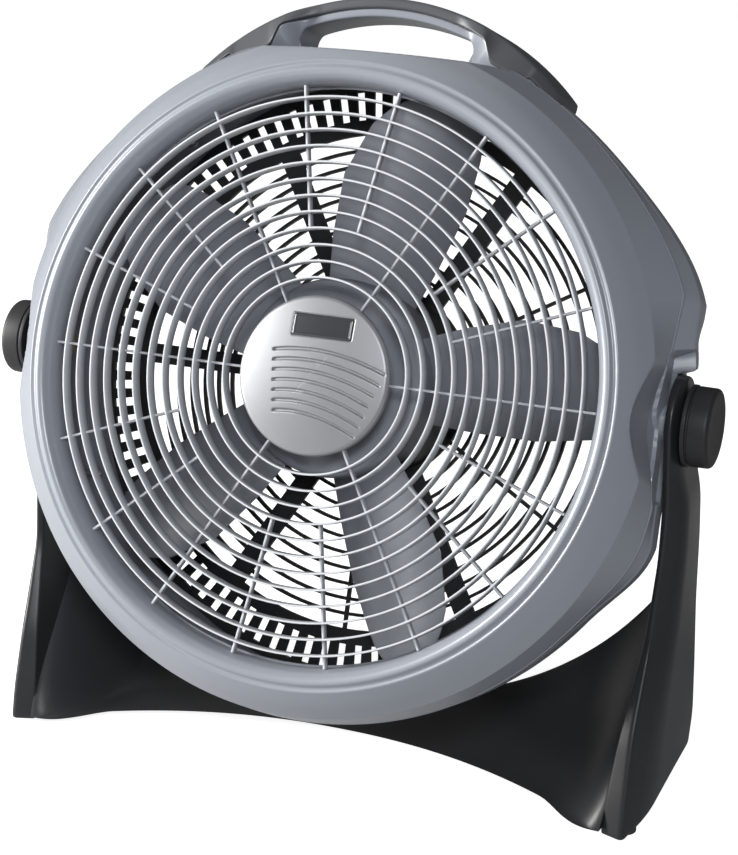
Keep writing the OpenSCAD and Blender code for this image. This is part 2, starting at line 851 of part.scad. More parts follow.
// Front view of the panel: everything under the arc and between the legs
module panel_front(inset) {
    difference() {
        intersection() {
            polygon([for (p = seam) p - [inset, 0], for (i = [3 : -1 : 0]) [inset - seam[i][0], seam[i][1]]]);
            translate([-arc_r, floor_z + panel_arch - 2 * inset]) square([2 * arc_r, pivot_height]);
        }
        circle(r = arc_r + inset, $fn = 180);
    }
}

// The hollowed front face: a bowl whose wall steepens upwards
module front_hollow(grow) {
    r0 = panel_curve_r + 1.5 * grow;
    z0 = floor_z - 10;
    translate([0, panel_curve_y, 0]) rotate_extrude($fn = 240) polygon([[0, z0], [r0 - 4, z0],
        [r0 - 4, floor_z + 4], [r0, floor_z + 9], [r0 + 48, floor_z + 36], [r0 + 92, floor_z + 82],
        [r0 + 122, floor_z + 130], [r0 + 134, floor_z + 180], [r0 + 134, 0], [0, 0]]);
}

module cross_panel() {
    color(near_black) at_pivot() difference() {
        union() {
            difference() {
                rotate([90, 0, 0]) translate([0, 0, -panel_rear_y])
                    linear_extrude(height = panel_rear_y + toe_y) panel_front(0);
                front_hollow(0);
                difference() {
                    rotate([90, 0, 0]) translate([0, 0, -panel_rear_y + panel_wall])
                        linear_extrude(height = panel_rear_y + toe_y) panel_front(panel_wall);
                    front_hollow(panel_wall);
                }
            }
        }
        both_sides() panel_lugs(screw_r + 0.2, toe_in_x - 20, leg_in_x);
    }
}

// Inner face of the panel's end wall at a height below the tilt axis
function lug_wall_x(drop) = lookup(-drop, [for (p = seam) [p[1], p[0]]]) - panel_wall;

module panel_screws() {
    color(steel) at_pivot() both_sides() for (i = [0 : len(lug_y) - 1])
        translate([0, lug_y[i], -lug_drop[i]]) {
            wall_x = lug_wall_x(lug_drop[i]);
            side_cylinder(screw_r - 0.05, wall_x - panel_screw_stand_off, leg_in_x + 5);
            side_cylinder(screw_head_r, wall_x - panel_screw_stand_off - 3, wall_x - panel_screw_stand_off);
        }
}

module foot_pads() {
    color(dark_gray) both_sides() for (y = [-toe_y + 26, heel_y - 28])
        translate([leg_in_x - 5, y, 0]) cylinder(r = foot_pad_r, h = foot_pad_t);
}

module pivot_bushes() {
    color(silver) at_pivot() both_sides() difference() {
        side_cylinder(shoulder_r + bush_wall, leg_in_x, leg_out_x);
        side_cylinder(shoulder_r + run_gap, leg_in_x - cut, leg_out_x + cut);
    }
}

module friction_washers() {
    color(dark_gray) at_pivot() both_sides() difference() {
        side_cylinder(boss_r - 8, boss_x + 0.2, boss_x + 0.2 + washer_t);
        side_cylinder(shoulder_r + fit_gap, boss_x - cut, leg_in_x + cut);
    }
}

left_leg();
right_leg();
cross_panel();
panel_screws();
foot_pads();
pivot_bushes();
friction_washers();
front_shroud();
front_grille();
hub_cap();
cap_plate();
rear_housing();
rear_grille();
handle_grip();
stud_inserts();
shroud_screws();
rear_grille_screws();
motor_cup();
stator_core();
stator_coils();
front_bracket();
rear_bracket();
motor_bearings();
bracket_screws();
control_cover();
cover_screws();
speed_switch();
run_capacitor();
cord_gland();
motor_shaft();
rotor_core();
fan_blade();
blade_nut();
speed_knob();
left_tilt_knob();
right_tilt_knob();
left_knob_stud();
right_knob_stud();
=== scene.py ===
# Twenty-inch round floor fan on a pivoting stand: the looks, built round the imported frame.
# Each section holds one piece, or one group of like pieces, in the order they go together.
import json
import math

import bmesh
import bpy
import numpy as np
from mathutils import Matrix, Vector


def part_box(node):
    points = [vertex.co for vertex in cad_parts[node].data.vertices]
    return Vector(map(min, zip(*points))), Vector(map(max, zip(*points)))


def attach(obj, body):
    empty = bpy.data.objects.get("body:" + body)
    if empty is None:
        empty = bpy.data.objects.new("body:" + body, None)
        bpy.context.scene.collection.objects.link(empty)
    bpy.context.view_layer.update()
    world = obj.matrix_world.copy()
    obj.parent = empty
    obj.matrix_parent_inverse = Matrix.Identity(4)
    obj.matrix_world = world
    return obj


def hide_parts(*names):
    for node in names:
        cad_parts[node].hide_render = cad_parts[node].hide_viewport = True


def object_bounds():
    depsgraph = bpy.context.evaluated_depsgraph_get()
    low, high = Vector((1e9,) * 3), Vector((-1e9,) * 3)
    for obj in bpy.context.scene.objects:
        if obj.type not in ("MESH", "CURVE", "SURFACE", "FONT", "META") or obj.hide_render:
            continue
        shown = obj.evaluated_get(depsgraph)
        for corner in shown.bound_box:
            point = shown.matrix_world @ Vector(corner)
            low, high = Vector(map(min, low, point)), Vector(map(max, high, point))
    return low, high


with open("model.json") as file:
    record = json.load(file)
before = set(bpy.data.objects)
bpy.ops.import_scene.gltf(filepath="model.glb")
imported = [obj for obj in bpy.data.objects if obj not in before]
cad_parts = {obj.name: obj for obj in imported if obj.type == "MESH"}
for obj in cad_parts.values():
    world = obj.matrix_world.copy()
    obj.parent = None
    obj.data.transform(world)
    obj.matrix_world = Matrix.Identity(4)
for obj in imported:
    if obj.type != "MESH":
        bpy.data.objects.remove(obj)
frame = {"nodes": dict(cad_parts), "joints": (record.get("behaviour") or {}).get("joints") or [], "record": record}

CAD_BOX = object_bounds()

# ---- Camera, floor and lamps ----
# A long lens stands to the right of the fan and above it, and looks at the middle of the grille.
# A large lamp to the left is the key, and weaker lamps in front, beside and behind fill the rest.
MM = 0.001
JOINTS = {joint["name"]: joint for joint in frame["joints"]}
PIVOT = np.array(JOINTS["head_tilt"]["pos_m"], float)
OUTWARD = np.array(JOINTS["fan_spin"]["axis"], float)
FACE_OUT = 68.0
CAMERA_AZIMUTH = math.radians(22.3)
CAMERA_HEIGHT = math.radians(20.3)
CAMERA_OFFSET_MM = (40.8, -38.3, 1707.4)
CAMERA_LENS_MM = 96.8
SENSOR_MM = 36.0
FLOOR_HALF_M = 14.0
FLOOR_GAP = 0.3
FLOOR_SHADE = (0.5, 0.5, 0.5, 1.0)
FLOOR_ROUGHNESS = 0.8
FLOOR_GLOW = 0.9
WHITE = (1.0, 1.0, 1.0, 1.0)
WORLD_STRENGTH = 0.08
KEY_COLOR = (1.0, 0.985, 0.96)
FILL_COLOR = (0.94, 0.965, 1.0)
# Name, place in metres, width and height in metres, power in watts, colour
LAMPS = [
    ("key", (-2.0, -0.95, 1.0), (0.8, 1.3), 120, KEY_COLOR),
    ("front_fill", (0.95, -2.3, 1.85), (0.6, 0.6), 46, FILL_COLOR),
    ("side_strip", (1.35, -1.75, 0.75), (0.15, 0.5), 3, FILL_COLOR),
    ("top", (-0.3, 0.6, 2.3), (1.4, 1.0), 3, KEY_COLOR),
]


def add_camera():
    """Camera whose right, up and back axes follow from its azimuth and height."""
    back = np.array([math.sin(CAMERA_AZIMUTH) * math.cos(CAMERA_HEIGHT),
                     -math.cos(CAMERA_AZIMUTH) * math.cos(CAMERA_HEIGHT), math.sin(CAMERA_HEIGHT)])
    right = np.array([math.cos(CAMERA_AZIMUTH), math.sin(CAMERA_AZIMUTH), 0.0])
    axes = np.stack([right, np.cross(back, right), back])
    data = bpy.data.cameras.new("camera")
    data.lens = CAMERA_LENS_MM
    data.sensor_width = SENSOR_MM
    camera = bpy.data.objects.new("camera", data)
    bpy.context.scene.collection.objects.link(camera)
    place = PIVOT + MM * (FACE_OUT * OUTWARD + np.array(CAMERA_OFFSET_MM) @ axes)
    matrix = np.eye(4)
    matrix[:3, :3] = axes.T
    matrix[:3, 3] = place
    camera.matrix_world = Matrix(matrix.tolist())
    bpy.context.scene.camera = camera


def add_lamp(name, place, size, power, color):
    """Oblong area lamp whose -Z points at the tilt axis and whose top stays up."""
    data = bpy.data.lights.new(name, "AREA")
    data.shape = "RECTANGLE"
    data.size, data.size_y = size
    data.energy = power
    data.color = color
    lamp = bpy.data.objects.new(name, data)
    bpy.context.scene.collection.objects.link(lamp)
    lamp.location = place
    lamp.rotation_euler = (Vector(PIVOT) - lamp.location).to_track_quat("-Z", "Y").to_euler()


def new_material(name):
    """A node material, its tree and its main shader."""
    material = bpy.data.materials.new(name)
    material.use_nodes = True
    return material, material.node_tree, material.node_tree.nodes["Principled BSDF"]


def add_floor():
    """One large pale square, just under the foot pads. It glows for the camera alone."""
    data = bpy.data.meshes.new("floor")
    edge, low = FLOOR_HALF_M, CAD_BOX[0][2] - MM * FLOOR_GAP
    corners = [(-edge, -edge, low), (edge, -edge, low), (edge, edge, low), (-edge, edge, low)]
    data.from_pydata(corners, [], [(0, 1, 2, 3)])
    floor = bpy.data.objects.new("floor", data)
    bpy.context.scene.collection.objects.link(floor)
    material, tree, shader = new_material("pale_floor")
    shader.inputs["Base Color"].default_value = FLOOR_SHADE
    shader.inputs["Roughness"].default_value = FLOOR_ROUGHNESS
    shader.inputs["Emission Color"].default_value = WHITE
    seen = tree.nodes.new("ShaderNodeLightPath").outputs["Is Camera Ray"]
    glow = tree.nodes.new("ShaderNodeMath")
    glow.operation = "MULTIPLY"
    glow.inputs[1].default_value = FLOOR_GLOW
    tree.links.new(seen, glow.inputs[0])
    tree.links.new(glow.outputs[0], shader.inputs["Emission Strength"])
    data.materials.append(material)


def add_world():
    """Even white surroundings."""
    world = bpy.data.worlds.new("studio")
    world.use_nodes = True
    sky = world.node_tree.nodes["Background"]
    sky.inputs["Color"].default_value = WHITE
    sky.inputs["Strength"].default_value = WORLD_STRENGTH
    bpy.context.scene.world = world


add_camera()
add_floor()
add_world()
for lamp_row in LAMPS:
    add_lamp(*lamp_row)
bpy.context.scene.view_settings.view_transform = "Standard"


# ---- Stand legs ----
# Each leg is one black moulding that stands on two rubber pads. Its nose is a narrow rolled
# edge, its outside bows out towards the floor, and its top is round about the tilt axis.
def at_pivot(across, back, above):
    """Points in metres for the stand: pivot plus millimetres along X, Y and Z."""
    across, back, above = np.broadcast_arrays(across, back, above)
    return PIVOT + MM * np.stack([across, back, above], axis=-1)


def soften(corners, reach, steps=5):
    """Rounds a closed outline. Each corner becomes a quadratic curve that starts and ends
    `reach` away along its two edges, or at 0.45 of a shorter edge. Works on stacked outlines."""
    corners = np.asarray(corners, float)
    back = np.roll(corners, 1, axis=-2) - corners
    on = np.roll(corners, -1, axis=-2) - corners
    back_len = np.maximum(np.linalg.norm(back, axis=-1, keepdims=True), 1e-9)
    on_len = np.maximum(np.linalg.norm(on, axis=-1, keepdims=True), 1e-9)
    reach = np.broadcast_to(np.asarray(reach, float), corners.shape[:-1])[..., None]
    limit = np.minimum(reach, 0.45 * np.minimum(back_len, on_len))
    start = (corners + back / back_len * limit)[..., None, :]
    end = (corners + on / on_len * limit)[..., None, :]
    t = np.linspace(0.0, 1.0, steps)[:, None]
    curve = (1 - t) ** 2 * start + 2 * t * (1 - t) * corners[..., None, :] + t ** 2 * end
    return curve.reshape(*corners.shape[:-2], -1, corners.shape[-1])


def quads_of(rows, cols, wrap_rows, wrap_cols, first):
    """Four-sided faces of a grid whose points are numbered row by row from `first`."""
    row = np.arange(rows if wrap_rows else rows - 1)[:, None]
    col = np.arange(cols if wrap_cols else cols - 1)[None, :]
    next_row = (row + 1) % rows
    next_col = (col + 1) % cols
    loop = [row * cols + col, next_row * cols + col, next_row * cols + next_col, row * cols + next_col]
    return first + np.stack(np.broadcast_arrays(*loop), axis=-1).reshape(-1, 4)


MERGE_M = 2e-6


def make_piece(name, body, grids, material, sharp=32.0):
    """One object from grids of points in metres, each (points, wrap_rows, wrap_cols). Points
    that meet are merged, faces turn outwards, and edges past `sharp` degrees stay sharp."""
    points, faces, first = [], [], 0
    for grid, wrap_rows, wrap_cols in grids:
        rows, cols = grid.shape[:2]
        points.append(grid.reshape(-1, 3))
        faces.append(quads_of(rows, cols, wrap_rows, wrap_cols, first))
        first += rows * cols
    data = bpy.data.meshes.new(name)
    data.from_pydata(np.concatenate(points).tolist(), [], np.concatenate(faces).tolist())
    shell = bmesh.new()
    shell.from_mesh(data)
    bmesh.ops.remove_doubles(shell, verts=shell.verts, dist=MERGE_M)
    bmesh.ops.recalc_face_normals(shell, faces=shell.faces)
    shell.to_mesh(data)
    shell.free()
    data.shade_smooth()
    data.set_sharp_from_angle(angle=math.radians(sharp))
    piece = bpy.data.objects.new(name, data)
    bpy.context.scene.collection.objects.link(piece)
    data.materials.append(material)
    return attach(piece, body)


def new_group(name, inputs, outputs):
    """Shader node group with float inputs {name: value} and outputs {name: socket type}."""
    tree = bpy.data.node_groups.new(name, "ShaderNodeTree")
    for label, value in inputs.items():
        socket = tree.interface.new_socket(label, in_out="INPUT", socket_type="NodeSocketFloat")
        socket.default_value = value
    for label, kind in outputs.items():
        tree.interface.new_socket(label, in_out="OUTPUT", socket_type=kind)
    return tree, tree.nodes.new("NodeGroupInput"), tree.nodes.new("NodeGroupOutput")


def add_node(tree, kind, links=(), **settings):
    """Node of a kind, with settings by name and (input, output socket) links."""
    node = tree.nodes.new(kind)
    for label, value in settings.items():
        if label in node.inputs:
            node.inputs[label].default_value = value
        else:
            setattr(node, label, value)
    for label, source in links:
        tree.links.new(source, node.inputs[label])
    return node


def combined(tree, operation, first, second):
    """Output of a Math node that joins two sockets."""
    node = add_node(tree, "ShaderNodeMath", operation=operation)
    tree.links.new(first, node.inputs[0])
    tree.links.new(second, node.inputs[1])
    return node.outputs[0]


def ranged(tree, value, **ends):
    """A value carried over to another range; the ends are from_min, from_max, to_min and to_max."""
    node = add_node(tree, "ShaderNodeMapRange", [("Value", value)])
    for label, end in ends.items():
        node.inputs[label.replace("_", " ").title()].default_value = end
    return node.outputs["Result"]


def moulded_skin_group():
    """Height of a moulding's fine grain, and a slow cloud of flow marks from 0 to 1."""
    tree, inputs, outputs = new_group(
        "moulded_skin", {"Grain Scale": 900.0, "Cloud Scale": 9.0},
        {"Height": "NodeSocketFloat", "Cloud": "NodeSocketFloat"})
    place = ("Vector", add_node(tree, "ShaderNodeTexCoord").outputs["Object"])
    grain = ("Scale", inputs.outputs["Grain Scale"])
    slow = ("Scale", inputs.outputs["Cloud Scale"])
    fine = add_node(tree, "ShaderNodeTexNoise", [place, grain], Detail=2.0)
    pits = add_node(tree, "ShaderNodeTexVoronoi", [place, grain])
    cloud = add_node(tree, "ShaderNodeTexNoise", [place, slow], Detail=3.0, Roughness=0.6)
    height = combined(tree, "ADD", fine.outputs["Fac"], pits.outputs["Distance"])
    tree.links.new(height, outputs.inputs["Height"])
    tree.links.new(cloud.outputs["Fac"], outputs.inputs["Cloud"])
    return tree


def edge_wear_group():
    """Mask of rubbed edges: how far the surface bulges, broken up by noise."""
    tree, inputs, outputs = new_group("edge_wear", {"Amount": 1.0}, {"Mask": "NodeSocketFloat"})
    place = ("Vector", add_node(tree, "ShaderNodeTexCoord").outputs["Object"])
    bulge = add_node(tree, "ShaderNodeNewGeometry").outputs["Pointiness"]
    rubbed = ranged(tree, bulge, from_min=0.515, from_max=0.62)
    speck = add_node(tree, "ShaderNodeTexNoise", [place], Scale=55.0, Detail=4.0)
    broken = ranged(tree, speck.outputs["Fac"], from_min=0.35, from_max=0.7)
    mask = combined(tree, "MULTIPLY", rubbed, broken)
    tree.links.new(combined(tree, "MULTIPLY", mask, inputs.outputs["Amount"]), outputs.inputs["Mask"])
    return tree


def settled_dust_group():
    """Mask of fine dust: faces that look up, in soft patches."""
    tree, inputs, outputs = new_group("settled_dust", {"Amount": 1.0}, {"Mask": "NodeSocketFloat"})
    place = ("Vector", add_node(tree, "ShaderNodeTexCoord").outputs["Object"])
    normal = add_node(tree, "ShaderNodeNewGeometry").outputs["Normal"]
    facing = add_node(tree, "ShaderNodeSeparateXYZ", [("Vector", normal)])
    rising = ranged(tree, facing.outputs["Z"], from_min=0.3, from_max=1.0)
    patch = add_node(tree, "ShaderNodeTexNoise", [place], Scale=14.0, Detail=5.0)
    mask = combined(tree, "MULTIPLY", rising, patch.outputs["Fac"])
    tree.links.new(combined(tree, "MULTIPLY", mask, inputs.outputs["Amount"]), outputs.inputs["Mask"])
    return tree


MOULDED_SKIN = moulded_skin_group()
EDGE_WEAR = edge_wear_group()
SETTLED_DUST = settled_dust_group()


def blended(tree, mask, low, high):
    """Colour that goes from low to high with the mask; either may be a socket."""
    mix = add_node(tree, "ShaderNodeMix", [("Factor", mask)], data_type="RGBA")
    for socket, value in ((mix.inputs[6], low), (mix.inputs[7], high)):
        if isinstance(value, bpy.types.NodeSocket):
            tree.links.new(value, socket)
        else:
            socket.default_value = (*value, 1.0)
    return mix.outputs[2]


def placed(tree, group, label, value):
    """A shader node group in a material, with one of its inputs set."""
    node = add_node(tree, "ShaderNodeGroup", node_tree=group)
    node.inputs[label].default_value = value
    return node


def dull_and_bump(tree, shader, cloud, low, high, height, depth, strength):
    """Roughness from low to high with the cloud, and a bump of `depth` metres from the height."""
    tree.links.new(ranged(tree, cloud, to_min=low, to_max=high), shader.inputs["Roughness"])
    bump = add_node(tree, "ShaderNodeBump", [("Height", height)], Distance=depth, Strength=strength)
    tree.links.new(bump.outputs["Normal"], shader.inputs["Normal"])


DUST_SHADE = (0.42, 0.41, 0.39)
COAT_ROUGHNESS = 0.18


def moulded_plastic(name, shade, cloudy, worn, roughness, grain, depth, coat=0.0, wear=0.4, dust=0.12,
                    shine=0.5):
    """Moulded plastic: shade drifts to the cloudy shade in slow marks, bulging edges rub to the
    worn shade, upward faces take a little dust, and a fine grain of `depth` metres gives bump."""
    material, tree, shader = new_material(name)
    skin = placed(tree, MOULDED_SKIN, "Grain Scale", grain)
    edge = placed(tree, EDGE_WEAR, "Amount", wear)
    dusty = placed(tree, SETTLED_DUST, "Amount", dust)
    color = blended(tree, skin.outputs["Cloud"], shade, cloudy)
    color = blended(tree, edge.outputs["Mask"], color, worn)
    color = blended(tree, dusty.outputs["Mask"], color, DUST_SHADE)
    tree.links.new(color, shader.inputs["Base Color"])
    dull_and_bump(tree, shader, skin.outputs["Cloud"], roughness - 0.05, roughness + 0.06,
                  skin.outputs["Height"], depth, 0.6)
    shader.inputs["Coat Weight"].default_value = coat
    shader.inputs["Specular IOR Level"].default_value = shine
    shader.inputs["Coat Roughness"].default_value = COAT_ROUGHNESS
    return material


STAND_BLACK = moulded_plastic("stand_black_plastic", (0.014, 0.0145, 0.016), (0.021, 0.0215, 0.0235),
                              (0.07, 0.07, 0.073), roughness=0.36, grain=1300.0, depth=0.00004,
                              coat=0.05, wear=0.3, dust=0.02, shine=0.34)
LEG_BOX = [np.array(corner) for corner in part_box("right_leg")]
LEG_FLOOR = (LEG_BOX[0][2] - PIVOT[2]) / MM
LEG_TOP_R = (LEG_BOX[1][2] - PIVOT[2]) / MM
LEG_OUT_X = LEG_BOX[1][0] / MM
PIVOT_OUT_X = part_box("pivot_bushes")[1][0] / MM
LEG_T = 10.0
PIVOT_IN_X = PIVOT_OUT_X - LEG_T
TOE_Y = LEG_BOX[0][1] / MM
HEEL_Y = LEG_BOX[1][1] / MM
LEG_ROWS = 150
FOOT_EDGE_R = 4.0
# Heights above the tilt axis at which the leg's outline is given, from the floor up
LEG_STATIONS = [LEG_FLOOR, -270, -225, -160, -100, -60, 0]
BOW_STATIONS = [LEG_FLOOR, -270, -225, -160, -100, -62, -36, 0]
EASE_WIDTH = 9.0


def eased(at, places, values):
    """Smooth value between given places: linear steps with eased ends, widened by averaging."""
    fine = np.interp(at, places, values)
    near = [np.interp(at + shift, places, values) for shift in np.linspace(-EASE_WIDTH, EASE_WIDTH, 7)]
    ends = np.minimum(np.abs(at - places[0]), np.abs(at - places[-1])) / EASE_WIDTH
    share = np.clip(ends, 0.0, 1.0)
    return fine * (1 - share) + np.mean(near, axis=0) * share


def leg_loops(height):
    """Level loops of the right leg. Each loop has five rounded corners: inner front, nose, outer
    bulge, outer rear, inner rear. They bow out below the knob, grow deeper from front to back
    downwards, and close to a line on the round top."""
    under = np.minimum(height, 0.0)
    above = np.maximum(height, 0.0)
    close = np.sqrt(np.maximum(1 - (above / LEG_TOP_R) ** 2, 0.0))
    front = eased(under, LEG_STATIONS, [TOE_Y, -91, -75, -42, -30, -28, -LEG_TOP_R * 0.93]) * close
    rear = eased(under, LEG_STATIONS,
                 [HEEL_Y - 4, HEEL_Y, HEEL_Y - 9, 55, 46, 39, LEG_TOP_R * 0.98]) * close
    outer = eased(under, BOW_STATIONS,
                  LEG_OUT_X - np.array([8.5, 7.0, 5.5, 3.2, 1.0, 0.4, 5.0, LEG_OUT_X - PIVOT_OUT_X]))
    nose = eased(under, LEG_STATIONS, [259, 259, 258, 259, 262, 264, 264.5])
    inner = eased(under, LEG_STATIONS, [241, 242, 246, 254, 258, PIVOT_IN_X, PIVOT_IN_X])
    depth = rear - front
    corners = np.stack([
        np.stack([inner, front + 0.035 * depth], -1), np.stack([nose, front], -1),
        np.stack([outer, front + 0.27 * depth], -1), np.stack([outer - 2.5, rear], -1),
        np.stack([inner, rear], -1)], axis=1)
    reach = np.stack([np.full_like(height, 2.0), np.full_like(height, 5.0), 0.3 * depth,
                      np.full_like(height, 5.0), np.full_like(height, 2.0)], axis=1)
    return soften(corners, reach, steps=9)


def make_leg(side, node):
    """Leg from stacked loops. The lowest loops draw in along a quarter circle for a round edge."""
    ledge = LEG_FLOOR + FOOT_EDGE_R
    low = LEG_FLOOR + FOOT_EDGE_R * (1 - np.sin(np.linspace(0.0, np.pi / 2, 8)))
    rise = np.unique(np.concatenate([low, np.linspace(ledge, 0, LEG_ROWS),
                                     LEG_TOP_R * np.sin(np.linspace(0.02, np.pi / 2, 34))]))
    loops = leg_loops(rise)
    under = np.maximum(ledge - rise, 0)
    draw = FOOT_EDGE_R - np.sqrt(np.maximum(FOOT_EDGE_R ** 2 - under ** 2, 0))
    away = loops - loops.mean(axis=1, keepdims=True)
    loops = loops - away / np.linalg.norm(away, axis=-1, keepdims=True) * draw[:, None, None]
    grid = at_pivot(side * loops[..., 0], loops[..., 1], np.repeat(rise[:, None], loops.shape[1], 1))
    sole = np.repeat(grid[:1].mean(axis=1, keepdims=True), grid.shape[1], axis=1)
    leg = make_piece(node + "_moulding", "stand", [(np.concatenate([sole, grid]), False, True)], STAND_BLACK)
    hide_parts(node)


make_leg(1, "right_leg")
make_leg(-1, "left_leg")

# ---- Cross panel ----
# The black panel that ties the legs together. Its front is a bowl: an almost level apron along
# the floor that sweeps back and climbs steeply to a round upper edge under the head.
PANEL_BOX = [np.array(corner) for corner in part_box("cross_panel")]
PANEL_ARC_R = 290.0
PANEL_REAR_Y = PANEL_BOX[1][1] / MM
PANEL_LOW = (PANEL_BOX[0][2] - PIVOT[2]) / MM
PANEL_EDGE_Y = PANEL_REAR_Y - 3.0
PANEL_FOOT_X = 241.0
PANEL_TOP_X = 256.5
PANEL_MID_Y = -19.0
PANEL_TOE_Y = TOE_Y + 2.0
PANEL_CLIMB = 2.3
PANEL_RIM = 1.6
# Share of the half width past which the panel's front swings forward to the leg's nose
PANEL_SWING = 0.76


def panel_front(side, rise):
    """Front face. `side` runs from -1 to 1 across and `rise` from 0 at the floor edge to 1 at
    the round upper edge. Height grows as rise to a power; depth runs evenly, and close to the
    legs it swings forward to meet their noses."""
    climb = rise ** PANEL_CLIMB
    across = side * (PANEL_FOOT_X + (PANEL_TOP_X - PANEL_FOOT_X) * climb)
    top = -np.sqrt(PANEL_ARC_R ** 2 - across ** 2)
    height = PANEL_LOW + (top - PANEL_LOW) * climb
    floor_y = PANEL_MID_Y + (PANEL_TOE_Y - PANEL_MID_Y) * np.abs(side) ** 2.15
    depth = floor_y + (PANEL_EDGE_Y - floor_y) * rise
    share = np.clip((np.abs(side) - PANEL_SWING) / (1 - PANEL_SWING), 0, 1)
    share = share ** 2 * (3 - 2 * share) * (1 - rise ** 3)
    nose_y = np.interp(height, [PANEL_LOW, -225, -160, -100], [PANEL_TOE_Y, -66, -34, -24])
    return across, depth + (np.minimum(nose_y, depth) - depth) * share, height


def make_panel():
    """Closed panel: front face, rolled upper edge, rear wall and underside, as one loop of rows."""
    side = np.sin(np.linspace(-np.pi / 2, np.pi / 2, 241))[None, :]
    rise = np.linspace(0.0, 1.0, 90)[:, None] + 0 * side
    across, depth, height = panel_front(side + 0 * rise, rise)
    front = at_pivot(across, depth, height)
    turn = np.linspace(0, np.pi, 9)[1:, None]
    bead = np.repeat(front[-1:], len(turn), 0)
    bead[..., 1] += (PANEL_REAR_Y - PANEL_EDGE_Y) / 2 * (1 - np.cos(turn)) * MM
    bead[..., 2] += PANEL_RIM * MM * np.sin(turn)
    low_z = PIVOT[2] + (PANEL_LOW + 1.0) * MM
    wall = np.repeat(bead[-1:], 12, 0)
    wall[..., 2] += (low_z - wall[..., 2]) * np.linspace(0.05, 1, 12)[:, None]
    under = np.stack([wall[-1] + (front[0] - wall[-1]) * t for t in (0.33, 0.66)])
    under[..., 2] = np.maximum(under[..., 2], low_z - MM)
    grid = np.concatenate([front, bead, wall, under])
    ends = []
    for column in (0, -1):
        loop = grid[:, column]
        hub = np.repeat(loop.mean(0)[None], len(loop), 0)
        ends.append((np.stack([loop, hub]), False, True))
    panel = make_piece("cross_panel_moulding", "stand", [(grid, True, False), *ends], STAND_BLACK)
    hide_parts("cross_panel")


make_panel()

# ---- Rear housing, with the handle arch ----
# Bluish grey moulding behind the parting line. It flares from the parting line to a flange that
# carries the four corners, then draws in to the rear grille. The handle arch is part of it.

# The head leans back on its tilt axis, so its shapes are worked out in its own axes, in
# millimetres: across to the right, up along the face, and out along the fan's axis.
ACROSS = np.array([1.0, 0.0, 0.0])
UPWARD = np.cross(OUTWARD, ACROSS)


def in_head(across, up, out):
    """Points in metres: pivot plus each millimetre value times its direction of the head."""
    across, up, out = np.broadcast_arrays(across, up, out)
    shift = across[..., None] * ACROSS + up[..., None] * UPWARD + out[..., None] * OUTWARD
    return PIVOT + MM * shift


def head_points(mesh):
    """Points of a mesh as (across, up, out) in the head's axes, in millimetres."""
    flat = np.empty(len(mesh.vertices) * 3)
    mesh.vertices.foreach_get("co", flat)
    return (flat.reshape(-1, 3) - PIVOT) @ np.stack([ACROSS, UPWARD, OUTWARD], axis=1) / MM


def head_span(node):
    """Lowest and highest (across, up, out) of a CAD node, in millimetres."""
    local = head_points(frame["nodes"][node].data)
    return local.min(0), local.max(0)


OUTLET_R = 217.0
SHELL_R = OUTLET_R + 45
UPPER_SHELL_R = SHELL_R + 4
CORNER_RISE = 18.0
CORNER_AT, CORNER_WIDTH = 18.0, 17.0
LOW_CORNER_SHARE = 0.66
LOW_CORNER_AT, LOW_CORNER_WIDTH = 22.0, 9.0
SIDE_X = SHELL_R + 8
BOSS_X = SHELL_R - 5
RECESS_X = BOSS_X - 11
RIDGE_DIP, RIDGE_WIDTH = 12.0, 38.0
RIDGE_LIFT = 2.5
PARTING_OUT = 28.0
FRONT_RISE_SHARE = 0.55
WALL = 2.6
HAND_FLOOR = SHELL_R - 19
HAND_HALF_W = 71.0
DUCT_R = OUTLET_R + 24
# The side scoop, the valley behind it, the flange's face and where the arch stands on the housing
SCOOP_FALL = 2.7
FACE_IN_X = 254.0
FACE_OUT_AT = 6.0
FACE_FALL = 3.0
ARCH_ROOT_OUT = 12.5
STEP_UP = 38.5
STEP_FALL = 2.0
WAIST, WAIST_UP, WAIST_WIDTH = 3.2, 62.0, 12.0
LEG_REACH_UP = -70.0
# Far enough out to leave the outline as it is
FREE = 40.0
CLEAR_OF_LEG = 20.0
REAR_OUT = head_span("rear_grille")[0][2]
HOUSING_GREY = moulded_plastic("housing_grey_plastic", (0.205, 0.222, 0.252), (0.232, 0.248, 0.280),
                               (0.42, 0.43, 0.46), roughness=0.36, grain=1500.0, depth=0.00002,
                               coat=0.25, wear=0.25, dust=0.06)


def smooth(value, low, high):
    """0 below low, 1 above high, eased between."""
    t = np.clip((value - low) / (high - low), 0, 1)
    return t * t * (3 - 2 * t)


def outline(angle, share):
    """Radius of the housing at an angle from +X. Above the axis a bell-shaped rise is cut off by
    the flat side; below it a lower and narrower one stands. Places and widths are in degrees."""
    lift = np.degrees(np.arcsin(np.abs(np.sin(angle))))
    side = np.cos(np.radians(np.minimum(lift, 80)))
    bell = np.exp(-((lift - CORNER_AT) / CORNER_WIDTH) ** 2)
    low_bell = LOW_CORNER_SHARE * np.exp(-((lift - LOW_CORNER_AT) / LOW_CORNER_WIDTH) ** 2)
    upper = np.minimum(UPPER_SHELL_R + CORNER_RISE * share * bell, SIDE_X / side)
    lower = np.minimum(SHELL_R + CORNER_RISE * share * low_bell, BOSS_X / side)
    over = smooth(np.sin(angle), -0.02, 0.02)
    return upper * over + lower * (1 - over)


def side_angles(coarse, fine):
    """Angles once round, with small steps where the side recesses and the hand opening are."""
    edges = np.radians([0, 22, 68, 84, 96, 112, 158, 202, 338, 360])
    steps = [fine, coarse, fine, coarse, fine, coarse, fine, coarse, fine]
    runs = [np.arange(a, b - 1e-6, math.radians(step)) for a, b, step in zip(edges, edges[1:], steps)]
    return np.concatenate(runs)


